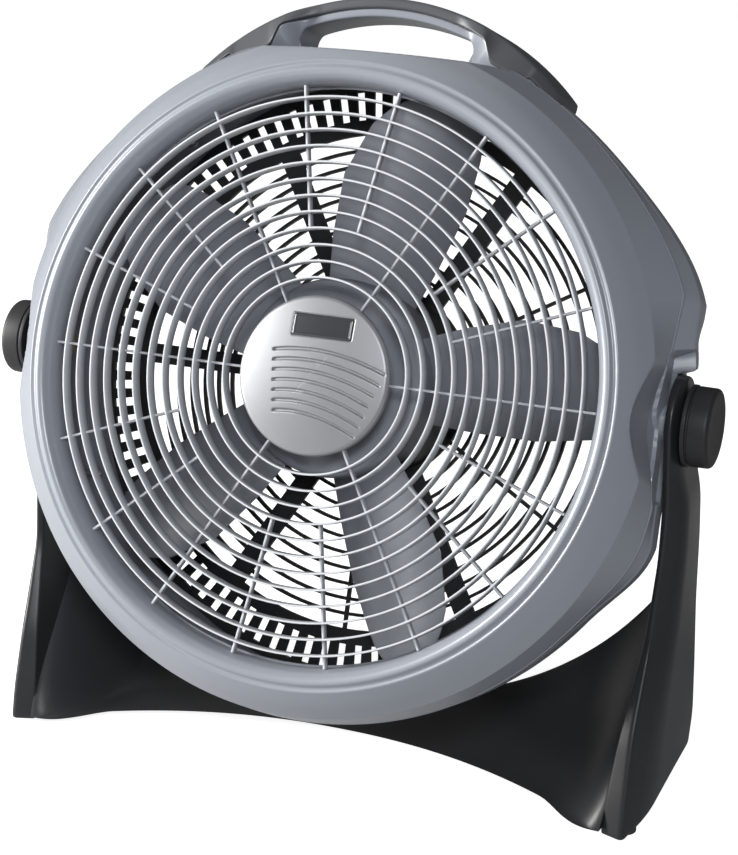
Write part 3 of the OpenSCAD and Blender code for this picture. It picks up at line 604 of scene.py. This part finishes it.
def ridge(up):
    """Widest half width of the parting line at a height: it draws in about the tilt axis."""
    dip = RIDGE_DIP * (1 - np.exp(-(up / RIDGE_WIDTH) ** 2))
    return RECESS_X + dip + RIDGE_LIFT * smooth(np.abs(up), 60, 105)


def parting_radius(angle):
    """Radius of the parting line: the housing's outline, held to the ridge at the sides."""
    radius = outline(angle, FRONT_RISE_SHARE)
    for _ in range(8):
        limit = ridge(radius * np.sin(angle)) / np.maximum(np.abs(np.cos(angle)), 0.05)
        radius = 0.5 * (radius + np.minimum(outline(angle, FRONT_RISE_SHARE), limit))
    return radius


def keep_clear(radius, angle, out, floor_dip=0.0):
    """Draws a surface in at the sides and for the level floor of the hand opening. In front of
    the parting line a scoop as wide as the ridge cuts through the band. Behind it a valley runs
    out to the flange's face, which rises to the flange's edge and is cut back for the leg."""
    up, across = radius * np.sin(angle), np.abs(radius * np.cos(angle))
    scoop = ridge(up) - SCOOP_FALL * np.clip((out - PARTING_OUT) / 30, 0, 1)
    scoop = scoop + FREE * smooth(np.abs(up), 70, 90) * (out > PARTING_OUT)
    waist = WAIST * np.exp(-((up - WAIST_UP) / WAIST_WIDTH) ** 2)
    edge = BOSS_X + (SIDE_X - BOSS_X - waist) * smooth(up, STEP_UP, STEP_UP + STEP_FALL)
    edge = edge + CLEAR_OF_LEG * (up < LEG_REACH_UP)
    share = np.clip((out - FACE_OUT_AT) / (PARTING_OUT - FACE_OUT_AT), 0, 1)
    rise = np.clip((FACE_OUT_AT - out) / FACE_FALL, 0, 1)
    behind = FACE_IN_X + (ridge(up) - FACE_IN_X) * share + (edge - FACE_IN_X) * rise
    behind = behind + FREE * (1 - rise) * (smooth(up, 50, 62) + smooth(-up, 58, 66))
    behind = np.minimum(behind, edge + CLEAR_OF_LEG * (out > FACE_OUT_AT))
    tight = np.where(out > PARTING_OUT - 0.2, scoop, behind)
    radius = np.minimum(radius, (tight - floor_dip) / np.maximum(np.abs(np.cos(angle)), 0.05))
    half = np.where(out > ARCH_ROOT_OUT, 400.0, HAND_HALF_W)
    floor = HAND_FLOOR - floor_dip + FREE * smooth(across, half - 1.5, half + 1.5)
    floor = np.where(np.sin(angle) > 0.5, floor, 1e4)
    return np.minimum(radius, floor / np.maximum(np.abs(np.sin(angle)), 0.05))


def spread_rows(corners, reach, steps, gap):
    """Softens stacked closed profiles, then adds points so that none lie further apart than gap."""
    loop = soften(corners, reach, steps)
    following = np.roll(loop, -1, axis=1)
    longest = np.linalg.norm(following - loop, axis=-1).max(axis=0)
    pieces = []
    for i, length in enumerate(longest):
        count = max(1, int(round(length / gap)))
        t = (np.arange(count) / count)[None, :, None]
        pieces.append(loop[:, i:i + 1] * (1 - t) + following[:, i:i + 1] * t)
    return np.concatenate(pieces, axis=1)


def profile_stack(angle, *stations):
    """Corner points (radius, out) for every angle; a station's radius may vary with the angle."""
    return np.stack([np.stack(np.broadcast_arrays(r + 0 * angle, o + 0 * angle), -1) for r, o in stations], 1)


def shell_grid(angle, profile, dips):
    """Housing surface: each angle's profile, drawn in where the recess and opening need it."""
    turn = angle[:, None]
    radius, out = profile[..., 0], profile[..., 1]
    radius = keep_clear(radius, turn, out, dips)
    return in_head(radius * np.cos(turn), radius * np.sin(turn), out)


def make_rear_housing():
    """Rear housing: profile from the parting line over the flange to the rear rim and back inside."""
    angle = side_angles(1.0, 0.4)
    part = parting_radius(angle)
    flange = outline(angle, 1.0)
    rear, w = REAR_OUT, WALL
    profile = profile_stack(
        angle, (part - 0.5, PARTING_OUT - 0.4), (part + 0.5, PARTING_OUT - 1.4),
        (part + 0.3, PARTING_OUT - 3), (flange - 1.0, 13.0), (flange, 11.0), (flange, -6.0),
        (SHELL_R - 1, -22.0), (SHELL_R - 10, rear + 16), (DUCT_R + 5, rear), (DUCT_R, rear),
        (DUCT_R, rear + 4), (DUCT_R + 1, rear + 14), (SHELL_R - 2 * w, -24.0), (flange - w, -7.0),
        (part - w, 9.0), (part - w - 0.4, PARTING_OUT - 0.5))
    reach = [0.4, 0.5, 0.8, 1.2, 1.2, 1.5, 10, 8, 1.5, 0.5, 0.5, 4, 8, 3, 4, 0.5]
    rows = spread_rows(profile, reach, 4, 1.9)
    inner = rows[..., 0] < np.interp(rows[..., 1], [rear, 0, PARTING_OUT], [DUCT_R + 2, 252, 258])
    return shell_grid(angle, rows, np.where(inner, w, 0.0))


REAR_GRID = make_rear_housing()
GRIP_SPAN = head_span("handle_grip")
ARCH_END_X = GRIP_SPAN[1][0]
ARCH_TOP = GRIP_SPAN[1][1]
ARCH_R = 198.2
ARCH_MID = ARCH_TOP - ARCH_R
GRIP_T = 8.5
RIM_W = 6.0
ARCH_FRONT = GRIP_SPAN[1][2] - 3
ARCH_REAR = GRIP_SPAN[0][2] + 3
ARCH_STEPS = 130
RIM_OVERLAP = 0.4


def arch_line(radius, side_x, below):
    """Half of a handle boundary: along the arc of the given radius from the apex to side_x, then
    through the points below, evened out and smoothed by averaging neighbours."""
    turn = np.linspace(0, math.asin(side_x / radius), 60)
    arc = np.stack([radius * np.sin(turn), ARCH_MID + radius * np.cos(turn)], -1)
    path = np.concatenate([arc, below])
    for _ in range(4):
        length = np.concatenate([[0], np.cumsum(np.linalg.norm(np.diff(path, axis=0), axis=1))])
        even = np.linspace(0, length[-1], ARCH_STEPS)
        path = np.stack([np.interp(even, length, path[:, k]) for k in (0, 1)], -1)
        path[1:-1] = (path[:-2] + 2 * path[1:-1] + path[2:]) / 4
    return path


def capped(grid):
    """A tube of points, closed at each end by a row that lies at the middle of the end's ring."""
    first, last = (np.repeat(end.mean(1, keepdims=True), grid.shape[1], 1) for end in (grid[:1], grid[-1:]))
    return np.concatenate([first, grid, last])


def arch_bar(inner_half, outer_half, front_inner, front_outer, rear, reach):
    """Bar along the arch: mirrored boundaries joined by a section with rounded corners."""
    both = [np.concatenate([half[::-1] * [-1, 1], half[1:]]) for half in (inner_half, outer_half)]
    fronts = [np.broadcast_to(front, ARCH_STEPS)[:, None] for front in (front_inner, front_outer)]
    fronts = [np.concatenate([front[::-1], front[1:]]) for front in fronts]
    back = np.full_like(fronts[0], rear)
    corners = np.stack([np.concatenate([both[0], fronts[0]], 1), np.concatenate([both[1], fronts[1]], 1),
                        np.concatenate([both[1], back], 1), np.concatenate([both[0], back], 1)], axis=1)
    loops = soften(corners, reach, 7)
    grid = in_head(loops[..., 0], loops[..., 1], loops[..., 2])
    return capped(grid), False, True


OPENING_LINE = arch_line(ARCH_R - GRIP_T - RIM_W, HAND_HALF_W - 3, [
    [HAND_HALF_W, HAND_FLOOR + 16], [HAND_HALF_W, HAND_FLOOR - 2], [ARCH_END_X - 1.5, 212.0]])
GRIP_LINE = arch_line(ARCH_R - GRIP_T, 84.0, [
    [88.0, HAND_FLOOR + 9], [89.0, HAND_FLOOR + 4.5], [119.5, 235.0], [121.0, 240.0],
    [ARCH_END_X - 6.0, 224.5], [ARCH_END_X - 1, 221.0]])
# Share from the apex, where the handle is slim, to its ends, where it comes forward
ARCH_SPREAD = smooth(np.abs(GRIP_LINE[:, 0]), 55, 86)
GRIP_FRONT = ARCH_FRONT + 2 + (PARTING_OUT - 2.5 - ARCH_FRONT) * ARCH_SPREAD
RIM_OUTER_FRONT = ARCH_FRONT + (GRIP_FRONT - ARCH_FRONT - 3.0) * ARCH_SPREAD


def outer_arc(radius, end_x):
    """Half of the handle's outside: an even arc from the apex to end_x."""
    turn = np.linspace(0, 1, ARCH_STEPS) * math.asin(end_x / radius)
    return np.stack([radius * np.sin(turn), ARCH_MID + radius * np.cos(turn)], -1)


BOSS_R = 15.0
BOSS_LENGTH = 12.0
INSERT_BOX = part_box("stud_inserts")
INSERT_R = (INSERT_BOX[1][2] - INSERT_BOX[0][2]) / 2 / MM


def make_housing_piece():
    """Rear housing shell, handle arch and the two stud bosses in one piece."""
    outward = GRIP_LINE - OPENING_LINE
    outward = outward / np.linalg.norm(outward, axis=1, keepdims=True)
    rim = arch_bar(OPENING_LINE, GRIP_LINE + RIM_OVERLAP * outward, ARCH_FRONT, RIM_OUTER_FRONT,
                   ARCH_REAR, 2.2)
    turn = np.linspace(0, 2 * np.pi, 96, endpoint=False)[:, None]
    start, end = BOSS_X - BOSS_LENGTH, BOSS_X - 0.1
    ring = soften([[INSERT_R, start], [BOSS_R, start], [BOSS_R, end], [INSERT_R, end]], 0.6, 4)
    radius, along = ring[:, 0], ring[:, 1]
    bosses = [(at_pivot(side * along + 0 * turn, radius * np.cos(turn), radius * np.sin(turn)), True, True)
              for side in (1, -1)]
    piece = make_piece("rear_housing_moulding", "head", [(REAR_GRID, True, True), rim, *bosses], HOUSING_GREY)
    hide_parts("rear_housing")


make_housing_piece()

# ---- Carrying grip ----
# Dark soft-touch grip that wraps the arch. It is thin over the middle and grows deep towards
# its ends, where it runs down on to the housing.
GRIP_DARK = moulded_plastic("grip_dark_rubber", (0.052, 0.055, 0.062), (0.070, 0.073, 0.082),
                            (0.13, 0.13, 0.14), roughness=0.42, grain=1000.0, depth=0.00006,
                            coat=0.0, wear=0.25, dust=0.05)


def make_grip():
    """Grip: between its own inner line and the outer arc, with wide soft edges."""
    outer = outer_arc(ARCH_R, ARCH_END_X)
    bar = arch_bar(GRIP_LINE, outer, GRIP_FRONT, GRIP_FRONT - 9 * ARCH_SPREAD, ARCH_REAR - 3, 3.0)
    grip = make_piece("handle_grip_cover", "head", [bar], GRIP_DARK)
    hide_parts("handle_grip")


make_grip()

# ---- Front shroud ----
# Grey bezel in front of the parting line: a funnel and a bead round the outlet, a broad smooth
# band, then a crease and a flank that runs back to the parting line.
LIP_OUT = head_span("front_shroud")[1][2]
CREASE_R = OUTLET_R + 39
THROAT_OUT = FACE_OUT - 13


def make_shroud():
    """Shroud: profile from the throat over the bead, band and crease to the parting line."""
    angle = side_angles(1.0, 0.32)
    part = parting_radius(angle)
    w = WALL
    crest = LIP_OUT - 0.3
    profile = profile_stack(
        angle, (OUTLET_R, THROAT_OUT), (OUTLET_R, FACE_OUT - 4), (OUTLET_R + 3, FACE_OUT + 5),
        (OUTLET_R + 7, crest - 1), (OUTLET_R + 11, crest), (OUTLET_R + 13.5, crest - 2.4),
        (OUTLET_R + 15, crest - 2.6), (OUTLET_R + 17, crest - 1.6), (OUTLET_R + 28, crest - 10.4),
        (CREASE_R, THROAT_OUT), (part, PARTING_OUT + 0.4), (part - w, PARTING_OUT + 0.4),
        (CREASE_R - w, THROAT_OUT - w), (OUTLET_R + 16, crest - 6), (OUTLET_R + 8, crest - 5),
        (OUTLET_R + w, FACE_OUT - 5), (OUTLET_R + w, THROAT_OUT))
    reach = [0.6, 4, 3, 2.2, 2.0, 1.0, 0.8, 2.0, 10, 0.8, 0.9, 0.6, 2, 4, 3, 2, 0.6]
    rows = spread_rows(profile, reach, 5, 2.0)
    skin = np.interp(rows[..., 1], [PARTING_OUT, THROAT_OUT, 66, 72], [1, 1, 1, 0])
    limit = np.interp(rows[..., 1], [THROAT_OUT, 76], [CREASE_R - 1.3, OUTLET_R + 14])
    flank = part[:, None] + (CREASE_R - part[:, None]) * smooth(rows[..., 1], PARTING_OUT, THROAT_OUT)
    limit = np.where(rows[..., 1] < THROAT_OUT, flank - 1.3, limit)
    inside = np.where(rows[..., 0] < limit, w * skin, 0.0)
    grid = shell_grid(angle, rows, inside)
    shroud = make_piece("front_shroud_moulding", "head", [(grid, True, True)], HOUSING_GREY)
    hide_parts("front_shroud")


make_shroud()

# ---- Front grille ----
# Twelve deep ring fins on thin spokes behind them. The fins' front edges are narrow and round,
# and they stand on a shallow dish that is highest two thirds of the way out.
RING_COUNT = 12
FIRST_RING_R = 73.4
RING_PITCH = (OUTLET_R - 9.4 - FIRST_RING_R) / (RING_COUNT - 1)
FIN_T = 1.8
FIN_DEPTH = 11.0
SPOKE_COUNT = 18
SPOKE_T = 1.9
SPOKE_OUT = FACE_OUT - 6.5
SPOKE_DEPTH = 6.0
GRILLE_HUB_R = 58.0


def dish(radius):
    """Front of the grille at a radius: face + 27 q - 24 q squared, with q = (r / outlet) squared."""
    q = (radius / OUTLET_R) ** 2
    return FACE_OUT + 27 * q - 24 * q * q


def turned(profile, steps):
    """Profile of (radius, out) points turned once about the fan's axis."""
    turn = np.linspace(0, 2 * np.pi, steps, endpoint=False)[:, None]
    radius, out = profile[None, :, 0], profile[None, :, 1]
    return in_head(radius * np.cos(turn), radius * np.sin(turn), out + 0 * turn), True, True


def spoke_bar(turn, start, end):
    """Straight bar from one radius to another with a rounded oblong section."""
    half, front = SPOKE_T / 2, SPOKE_OUT + SPOKE_DEPTH
    section = soften([[-half, SPOKE_OUT], [half, SPOKE_OUT], [half, front], [-half, front]], 0.7, 4)
    along = np.array([start, start, end, end])[:, None]
    share = np.array([0.0, 1.0, 1.0, 0.0])[:, None]
    middle = section.mean(0)
    wide = middle[0] + (section[None, :, 0] - middle[0]) * share
    out = middle[1] + (section[None, :, 1] - middle[1]) * share
    cos, sin = math.cos(turn), math.sin(turn)
    return in_head(along * cos - wide * sin, along * sin + wide * cos, out), False, True


def mark_crests(piece):
    """Stores 1 on the front edges of fins and spokes and 0 behind them, by the depth below the
    dish or below the spokes' front. The mask places the painted highlight on those edges."""
    local = head_points(piece.data)
    radius = np.hypot(local[:, 0], local[:, 1])
    out = local[:, 2]
    below = np.minimum(np.abs(dish(radius) - out), np.abs(SPOKE_OUT + SPOKE_DEPTH - out))
    crest = (1 - smooth(below, 0.7, 1.5)) * (radius > GRILLE_HUB_R + 1)
    piece.data.attributes.new("crest", "FLOAT", "POINT").data.foreach_set("value", crest)


def paint_crest_highlight(material):
    """Painted highlight: the front edges of fins and spokes get a paler shade than the fins' sides, standing in
    for the light they catch.
    """
    tree = material.node_tree
    shader = tree.nodes["Principled BSDF"]
    crest = add_node(tree, "ShaderNodeAttribute", attribute_name="crest").outputs["Fac"]
    plain = shader.inputs["Base Color"].links[0].from_socket
    tree.links.new(blended(tree, crest, plain, CREST_HIGHLIGHT_SHADE), shader.inputs["Base Color"])


def make_front_grille():
    """Ring fins, rim, hub plate and spokes. A fin's front edge is 0.85 as thick as its root."""
    grids = []
    half = FIN_T / 2
    for i in range(RING_COUNT):
        radius = FIRST_RING_R + i * RING_PITCH
        top, root = dish(radius), dish(radius) - FIN_DEPTH
        fin = [[radius - half, root], [radius - 0.85 * half, top], [radius + 0.85 * half, top],
               [radius + half, root]]
        grids.append(turned(soften(fin, 0.7, 4), 200))
    inner, outer, back = OUTLET_R - 1.5, OUTLET_R + 3, THROAT_OUT - 3
    rim = [[inner, back], [inner, THROAT_OUT], [outer, THROAT_OUT], [outer, back]]
    grids.append(turned(soften(rim, 0.5, 3), 240))
    front, back = FACE_OUT - 3, FACE_OUT - 9
    hub = [[6, back], [GRILLE_HUB_R, back], [GRILLE_HUB_R, front], [6, front]]
    grids.append(turned(soften(hub, 1.0, 3), 120))
    for i in range(SPOKE_COUNT):
        start = GRILLE_HUB_R - 3 if i % 3 == 0 else FIRST_RING_R + 3 * RING_PITCH
        grids.append(spoke_bar(2 * np.pi * i / SPOKE_COUNT, start, OUTLET_R + 0.5))
    grille = make_piece("front_grille_moulding", "head", grids, GRILLE_GREY)
    mark_crests(grille)
    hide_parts("front_grille")


# Painted highlight laid on the front edges of fins and spokes, paler than the grille's own grey
CREST_HIGHLIGHT_SHADE = (0.50, 0.515, 0.54)
GRILLE_GREY = moulded_plastic("grille_grey_plastic", (0.170, 0.184, 0.210), (0.20, 0.214, 0.24),
                              (0.62, 0.63, 0.66), roughness=0.3, grain=1500.0, depth=0.00002,
                              coat=0.35, wear=0.5, dust=0.02)
paint_crest_highlight(GRILLE_GREY)
make_front_grille()

# ---- Hub cap and its blank plate ----
# Satin silver cap pressed into the middle of the grille, slightly domed, with seven bowed
# grooves. A small dark plate without any mark sits in a shallow pocket above them.
CAP_R = 60.0
CAP_FRONT = head_span("hub_cap")[1][2]
CAP_BACK = FACE_OUT - 3
CAP_DOME_R = 300.0
PLATE_X, PLATE_Y = 4.0, 37.0
PLATE_W, PLATE_H = 48.0, 17.0
GROOVE_COUNT = 7
GROOVE_HALF_W = 1.15
GROOVE_DEPTH = 1.7
POCKET_DEPTH = 1.0
CAP_EDGE_R = 3.0
CAP_WALL = 2.4
PLATE_CORNER_R = 2.0


PAINT_WORN = (0.75, 0.75, 0.76)
PAINT_METAL = 0.55


def metallic_paint(name, shade, cloudy, roughness):
    """Satin silver paint: fine flakes vary the colour, and slow clouds vary the gloss."""
    material, tree, shader = new_material(name)
    skin = placed(tree, MOULDED_SKIN, "Grain Scale", 2600.0)
    edge = placed(tree, EDGE_WEAR, "Amount", 0.5)
    color = blended(tree, skin.outputs["Height"], shade, cloudy)
    color = blended(tree, edge.outputs["Mask"], color, PAINT_WORN)
    tree.links.new(color, shader.inputs["Base Color"])
    dull_and_bump(tree, shader, skin.outputs["Cloud"], roughness - 0.05, roughness + 0.07,
                  skin.outputs["Height"], 0.00001, 0.5)
    shader.inputs["Metallic"].default_value = PAINT_METAL
    return material


CAP_SILVER = metallic_paint("cap_silver_paint", (0.21, 0.215, 0.23), (0.27, 0.275, 0.29), 0.42)
PLATE_DARK = moulded_plastic("plate_dark_plastic", (0.022, 0.024, 0.028), (0.03, 0.032, 0.037),
                             (0.1, 0.1, 0.11), roughness=0.28, grain=2000.0, depth=0.00001,
                             coat=0.5, wear=0.3, dust=0.03)


def groove_mask(x, y):
    """1 on a groove's floor and 0 beside it. Groove i is the parabola a + b x + c x squared,
    whose terms run evenly from the top groove to the bottom one, between two end points."""
    mask = np.zeros_like(x)
    for i in range(GROOVE_COUNT):
        t = i / (GROOVE_COUNT - 1)
        a, b, c = 19.3 - 47.7 * t, -0.012 - 0.106 * t, -0.0034 - 0.0018 * t
        line = a + b * x + c * x * x
        start, end = -32 + 5.5 * t, 56 - 18 * t
        aside = np.maximum(np.maximum(start - x, x - end), 0)
        away = np.hypot(y - line, aside)
        mask = np.maximum(mask, 1 - smooth(away, GROOVE_HALF_W * 0.55, GROOVE_HALF_W * 1.35))
    return mask


def oblong(x, y, grow):
    """Distance outside a rounded oblong about the plate, negative inside."""
    dx = np.abs(x - PLATE_X) - (PLATE_W / 2 + grow - PLATE_CORNER_R)
    dy = np.abs(y - PLATE_Y) - (PLATE_H / 2 + grow - PLATE_CORNER_R)
    away = np.hypot(np.maximum(dx, 0), np.maximum(dy, 0)) + np.minimum(np.maximum(dx, dy), 0)
    return away - PLATE_CORNER_R


def make_hub_cap():
    """Dome on rings of points, with the grooves and the plate's pocket pressed in, and a wall."""
    turn = np.linspace(0, 2 * np.pi, 620, endpoint=False)[None, :]
    bend = np.linspace(0.2, np.pi / 2, 7)
    flat_r = CAP_R - CAP_EDGE_R
    radius = np.concatenate([np.linspace(0, flat_r, 84), flat_r + CAP_EDGE_R * np.sin(bend)])[:, None]
    drop = np.concatenate([np.zeros(84), CAP_EDGE_R * (1 - np.cos(bend))])[:, None]
    x, y = radius * np.cos(turn), radius * np.sin(turn)
    out = CAP_FRONT - radius ** 2 / (2 * CAP_DOME_R) - drop
    out = out - GROOVE_DEPTH * groove_mask(x, y) - POCKET_DEPTH * (1 - smooth(oblong(x, y, 0.4), -0.4, 0.4))
    front = in_head(x, y, out)
    wall_r = np.array([CAP_R, CAP_R, CAP_R - CAP_WALL, CAP_R - CAP_WALL, 0])[:, None]
    wall_out = np.array([CAP_FRONT - 11, CAP_BACK, CAP_BACK, CAP_FRONT - 12, CAP_FRONT - 12])[:, None]
    wall = in_head(wall_r * np.cos(turn), wall_r * np.sin(turn), wall_out)
    shell = np.concatenate([front, wall])
    cap = make_piece("hub_cap_moulding", "head", [(shell, False, True)], CAP_SILVER, sharp=40.0)
    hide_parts("hub_cap")


def make_cap_plate():
    """Blank plate that follows the dome, with a raised bead just inside its edge."""
    u = np.linspace(-1, 1, 97)[None, :]
    v = np.linspace(-1, 1, 41)[:, None]
    x = PLATE_X + u * (PLATE_W / 2) + 0 * v
    y = PLATE_Y + v * (PLATE_H / 2) + 0 * u
    dome = CAP_FRONT - (x ** 2 + y ** 2) / (2 * CAP_DOME_R)
    inset = -oblong(x, y, 0)
    bead = np.exp(-((inset - 1.7) / 0.55) ** 2)
    out = dome - 0.35 + 0.4 * bead - 0.6 * (1 - smooth(inset, 0.0, 0.7))
    front = in_head(x, y, out)
    back = in_head(x, y, dome - 1.6)
    sides = [(np.stack([front[:, k], back[:, k]]), False, False) for k in (0, -1)]
    ends = [(np.stack([front[k], back[k]]), False, False) for k in (0, -1)]
    faces = [(front, False, False), (back, False, False)]
    plate = make_piece("cap_blank_plate", "head", [*faces, *sides, *ends], PLATE_DARK, sharp=40.0)
    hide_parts("cap_plate")


make_hub_cap()
make_cap_plate()

# ---- Fan moulding ----
# Five broad paddles on a cup-shaped hub, moulded in one piece. Each blade is a thin cambered
# sheet set at a pitch, widest past its middle and rounded at the tip.
BLADE_COUNT = 5
BLADE_TIP_R = 221.5
BLADE_ROOT_R = 72.0
HUB_R = 76.0
HUB_REAR, HUB_FRONT = -5.0, 36.0
BLADE_PITCH = math.radians(24)
BLADE_BEND_R = 190.0
BLADE_MID = 14.0
BLADE_T = 2.6
FIRST_BLADE = math.radians(80)
HUB_WALL = 2.4
HUB_BORE_R = 4.0
HUB_BOSS_R = 11.0
TIP_ROUND = 16.0
# Radii at which the two edges of a blade are given, and how far each edge lies from its axis
BLADE_STATIONS = [72, 110, 156, 195, 222]
LEADING_EDGE = [-33, -42, -50, -49, -44]
TRAILING_EDGE = [35, 43, 48, 38, 18]
BLADE_GREY = moulded_plastic("blade_grey_plastic", (0.180, 0.192, 0.216), (0.200, 0.213, 0.240),
                             (0.33, 0.34, 0.36), roughness=0.42, grain=1200.0, depth=0.00003,
                             coat=0.1, wear=0.2, dust=0.08)


def blade_grid(turn):
    """One blade. Along it, the two edges follow smooth curves; round it, the section is a thin
    lens bent to a circle and turned by the pitch. The tip narrows as a quarter ellipse."""
    along = np.linspace(0, 1, 70)[:, None]
    radius = BLADE_ROOT_R + (BLADE_TIP_R - BLADE_ROOT_R) * along
    lead = np.interp(radius, BLADE_STATIONS, LEADING_EDGE)
    trail = np.interp(radius, BLADE_STATIONS, TRAILING_EDGE)
    near_tip = np.clip((radius - (BLADE_TIP_R - TIP_ROUND)) / TIP_ROUND, 0, 1)
    narrow = np.sqrt(np.maximum(1 - near_tip ** 2, 0))
    middle, half = (lead + trail) / 2, (trail - lead) / 2 * (0.55 + 0.45 * narrow)
    half = half * np.sqrt(np.clip((1 - along) / 0.012, 0, 1))
    round_it = np.linspace(0, 2 * np.pi, 56, endpoint=False)[None, :]
    chord = middle + half * np.cos(round_it)
    thick = BLADE_T / 2 * np.sign(np.sin(round_it)) * np.abs(np.sin(round_it)) ** 0.6
    bend = BLADE_MID - chord ** 2 / (2 * BLADE_BEND_R) + thick
    across = chord * math.cos(BLADE_PITCH) - bend * math.sin(BLADE_PITCH)
    out = chord * math.sin(BLADE_PITCH) + bend * math.cos(BLADE_PITCH)
    reach = np.sqrt(np.maximum(radius ** 2 - across ** 2, 0))
    cos, sin = math.cos(turn), math.sin(turn)
    grid = in_head(reach * cos - across * sin, reach * sin + across * cos, out)
    return capped(grid), False, True


def make_fan():
    """Hub cup and blades."""
    inner, roof = HUB_R - HUB_WALL, HUB_FRONT - HUB_WALL
    cup = soften([[HUB_BORE_R, HUB_FRONT], [HUB_R, HUB_FRONT], [HUB_R, HUB_REAR], [inner, HUB_REAR],
                  [inner, roof], [HUB_BOSS_R, roof], [HUB_BOSS_R, HUB_REAR], [HUB_BORE_R, HUB_REAR]],
                 [0.3, 7, 0.8, 0.8, 5, 2, 0.8, 0.3], 6)
    grids = [turned(cup, 160)]
    grids += [blade_grid(FIRST_BLADE + 2 * np.pi * i / BLADE_COUNT) for i in range(BLADE_COUNT)]
    fan = make_piece("fan_moulding", "rotor", grids, BLADE_GREY)
    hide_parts("fan_blade")


make_fan()

# ---- Tilt knobs ----
# Round satin black knobs outside the legs. A thin flange bears on the leg, and the body behind
# it has a straight wall, a soft shoulder and a slightly hollow face.
KNOB_BLACK = moulded_plastic("knob_black_plastic", (0.017, 0.017, 0.018), (0.024, 0.024, 0.026),
                             (0.07, 0.07, 0.07), roughness=0.48, grain=1100.0, depth=0.00005,
                             coat=0.0, wear=0.4, dust=0.02, shine=0.3)
KNOB_BOX = [np.array(corner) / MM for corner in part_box("right_tilt_knob")]
KNOB_R = (KNOB_BOX[1][2] - KNOB_BOX[0][2]) / 2
KNOB_IN, KNOB_OUT = KNOB_BOX[0][0], KNOB_BOX[1][0]


def make_tilt_knob(side, node, body):
    """Profile of (radius, distance along X) turned about the tilt axis."""
    r = KNOB_R
    profile = soften([[0, KNOB_IN], [r, KNOB_IN], [r, KNOB_IN + 3.0], [r - 2.2, KNOB_IN + 3.6],
                      [r - 2.2, KNOB_IN + 4.6], [r - 0.8, KNOB_IN + 5.0], [r - 1.0, KNOB_OUT - 0.3],
                      [r - 8, KNOB_OUT], [r - 14, KNOB_OUT - 0.5], [0, KNOB_OUT - 0.8]],
                     [0, 0.7, 0.7, 0.3, 0.3, 0.5, 4.2, 3, 3, 0], 7)
    turn = np.linspace(0, 2 * np.pi, 128, endpoint=False)[:, None]
    radius, along = profile[None, :, 0], profile[None, :, 1]
    grid = at_pivot(side * along + 0 * turn, radius * np.cos(turn), radius * np.sin(turn))
    knob = make_piece(node + "_moulding", body, [(grid, True, True)], KNOB_BLACK)
    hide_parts(node)


make_tilt_knob(1, "right_tilt_knob", "right_clamp")
make_tilt_knob(-1, "left_tilt_knob", "left_clamp")

# ---- Carried-over pieces ----
# The motor, the rear grille, the controls, the screws, the bushes and the pads keep their own
# shape and take a finish by what they are made of: black plastic, rubber, nylon or bare metal.
MOTOR_BLACK = moulded_plastic("motor_black_plastic", (0.012, 0.012, 0.014), (0.02, 0.02, 0.022),
                              (0.06, 0.06, 0.06), roughness=0.45, grain=1200.0, depth=0.00004,
                              coat=0.0, wear=0.0, dust=0.1)
PAD_RUBBER = moulded_plastic("pad_rubber", (0.03, 0.03, 0.03), (0.045, 0.045, 0.045), (0.1, 0.1, 0.1),
                             roughness=0.75, grain=700.0, depth=0.0001, wear=0.0, dust=0.2)
BUSH_NYLON = moulded_plastic("bush_nylon", (0.5, 0.5, 0.46), (0.56, 0.55, 0.5), (0.7, 0.7, 0.66),
                             roughness=0.4, grain=900.0, depth=0.00003, wear=0.0, dust=0.05)


def bare_metal(name, shade, stained, roughness, stretch):
    """Bare metal: noise drawn out along one axis gives tool lines in gloss and bump, and blots
    stain the shade."""
    material, tree, shader = new_material(name)
    place = add_node(tree, "ShaderNodeTexCoord").outputs["Object"]
    drawn = add_node(tree, "ShaderNodeMapping", [("Vector", place)], Scale=stretch).outputs["Vector"]
    lines = add_node(tree, "ShaderNodeTexNoise", [("Vector", drawn)], Scale=400.0, Detail=3.0).outputs["Fac"]
    blots = add_node(tree, "ShaderNodeTexNoise", [("Vector", place)], Scale=60.0, Detail=4.0)
    tree.links.new(blended(tree, blots.outputs["Fac"], shade, stained), shader.inputs["Base Color"])
    dull_and_bump(tree, shader, lines, roughness - 0.08, roughness + 0.12, lines, 0.00003, 0.5)
    shader.inputs["Metallic"].default_value = 1.0
    return material


ZINC_STEEL = bare_metal("zinc_steel", (0.58, 0.58, 0.6), (0.42, 0.42, 0.43), 0.32, (1, 1, 8))
CORE_STEEL = bare_metal("core_steel", (0.34, 0.33, 0.33), (0.22, 0.21, 0.2), 0.45, (1, 12, 1))
WINDING_COPPER = bare_metal("winding_copper", (0.7, 0.3, 0.13), (0.5, 0.18, 0.07), 0.3, (1, 10, 1))
BEARING_BRONZE = bare_metal("bearing_bronze", (0.6, 0.42, 0.2), (0.4, 0.27, 0.12), 0.35, (8, 1, 1))
BRACKET_ALLOY = bare_metal("bracket_alloy", (0.6, 0.61, 0.62), (0.45, 0.45, 0.46), 0.42, (1, 1, 1))
FINISH_BY_SLOT = {
    "stand_black": STAND_BLACK, "housing_gray": HOUSING_GREY, "cap_silver": CAP_SILVER,
    "plate_dark": PLATE_DARK, "grip_dark": GRIP_DARK, "motor_black": MOTOR_BLACK,
    "knob_black": KNOB_BLACK, "zinc_steel": ZINC_STEEL, "core_steel": CORE_STEEL,
    "winding_copper": WINDING_COPPER, "bearing_bronze": BEARING_BRONZE,
    "bracket_alloy": BRACKET_ALLOY, "pad_rubber": PAD_RUBBER, "bush_nylon": BUSH_NYLON,
}


def finish_carried_nodes():
    """Each CAD node takes the finish of its slot in the record."""
    for part in frame["record"]["subparts"]:
        data = frame["nodes"][part["node"]].data
        data.materials.clear()
        data.materials.append(FINISH_BY_SLOT[part["material_slot"]])


finish_carried_nodes()
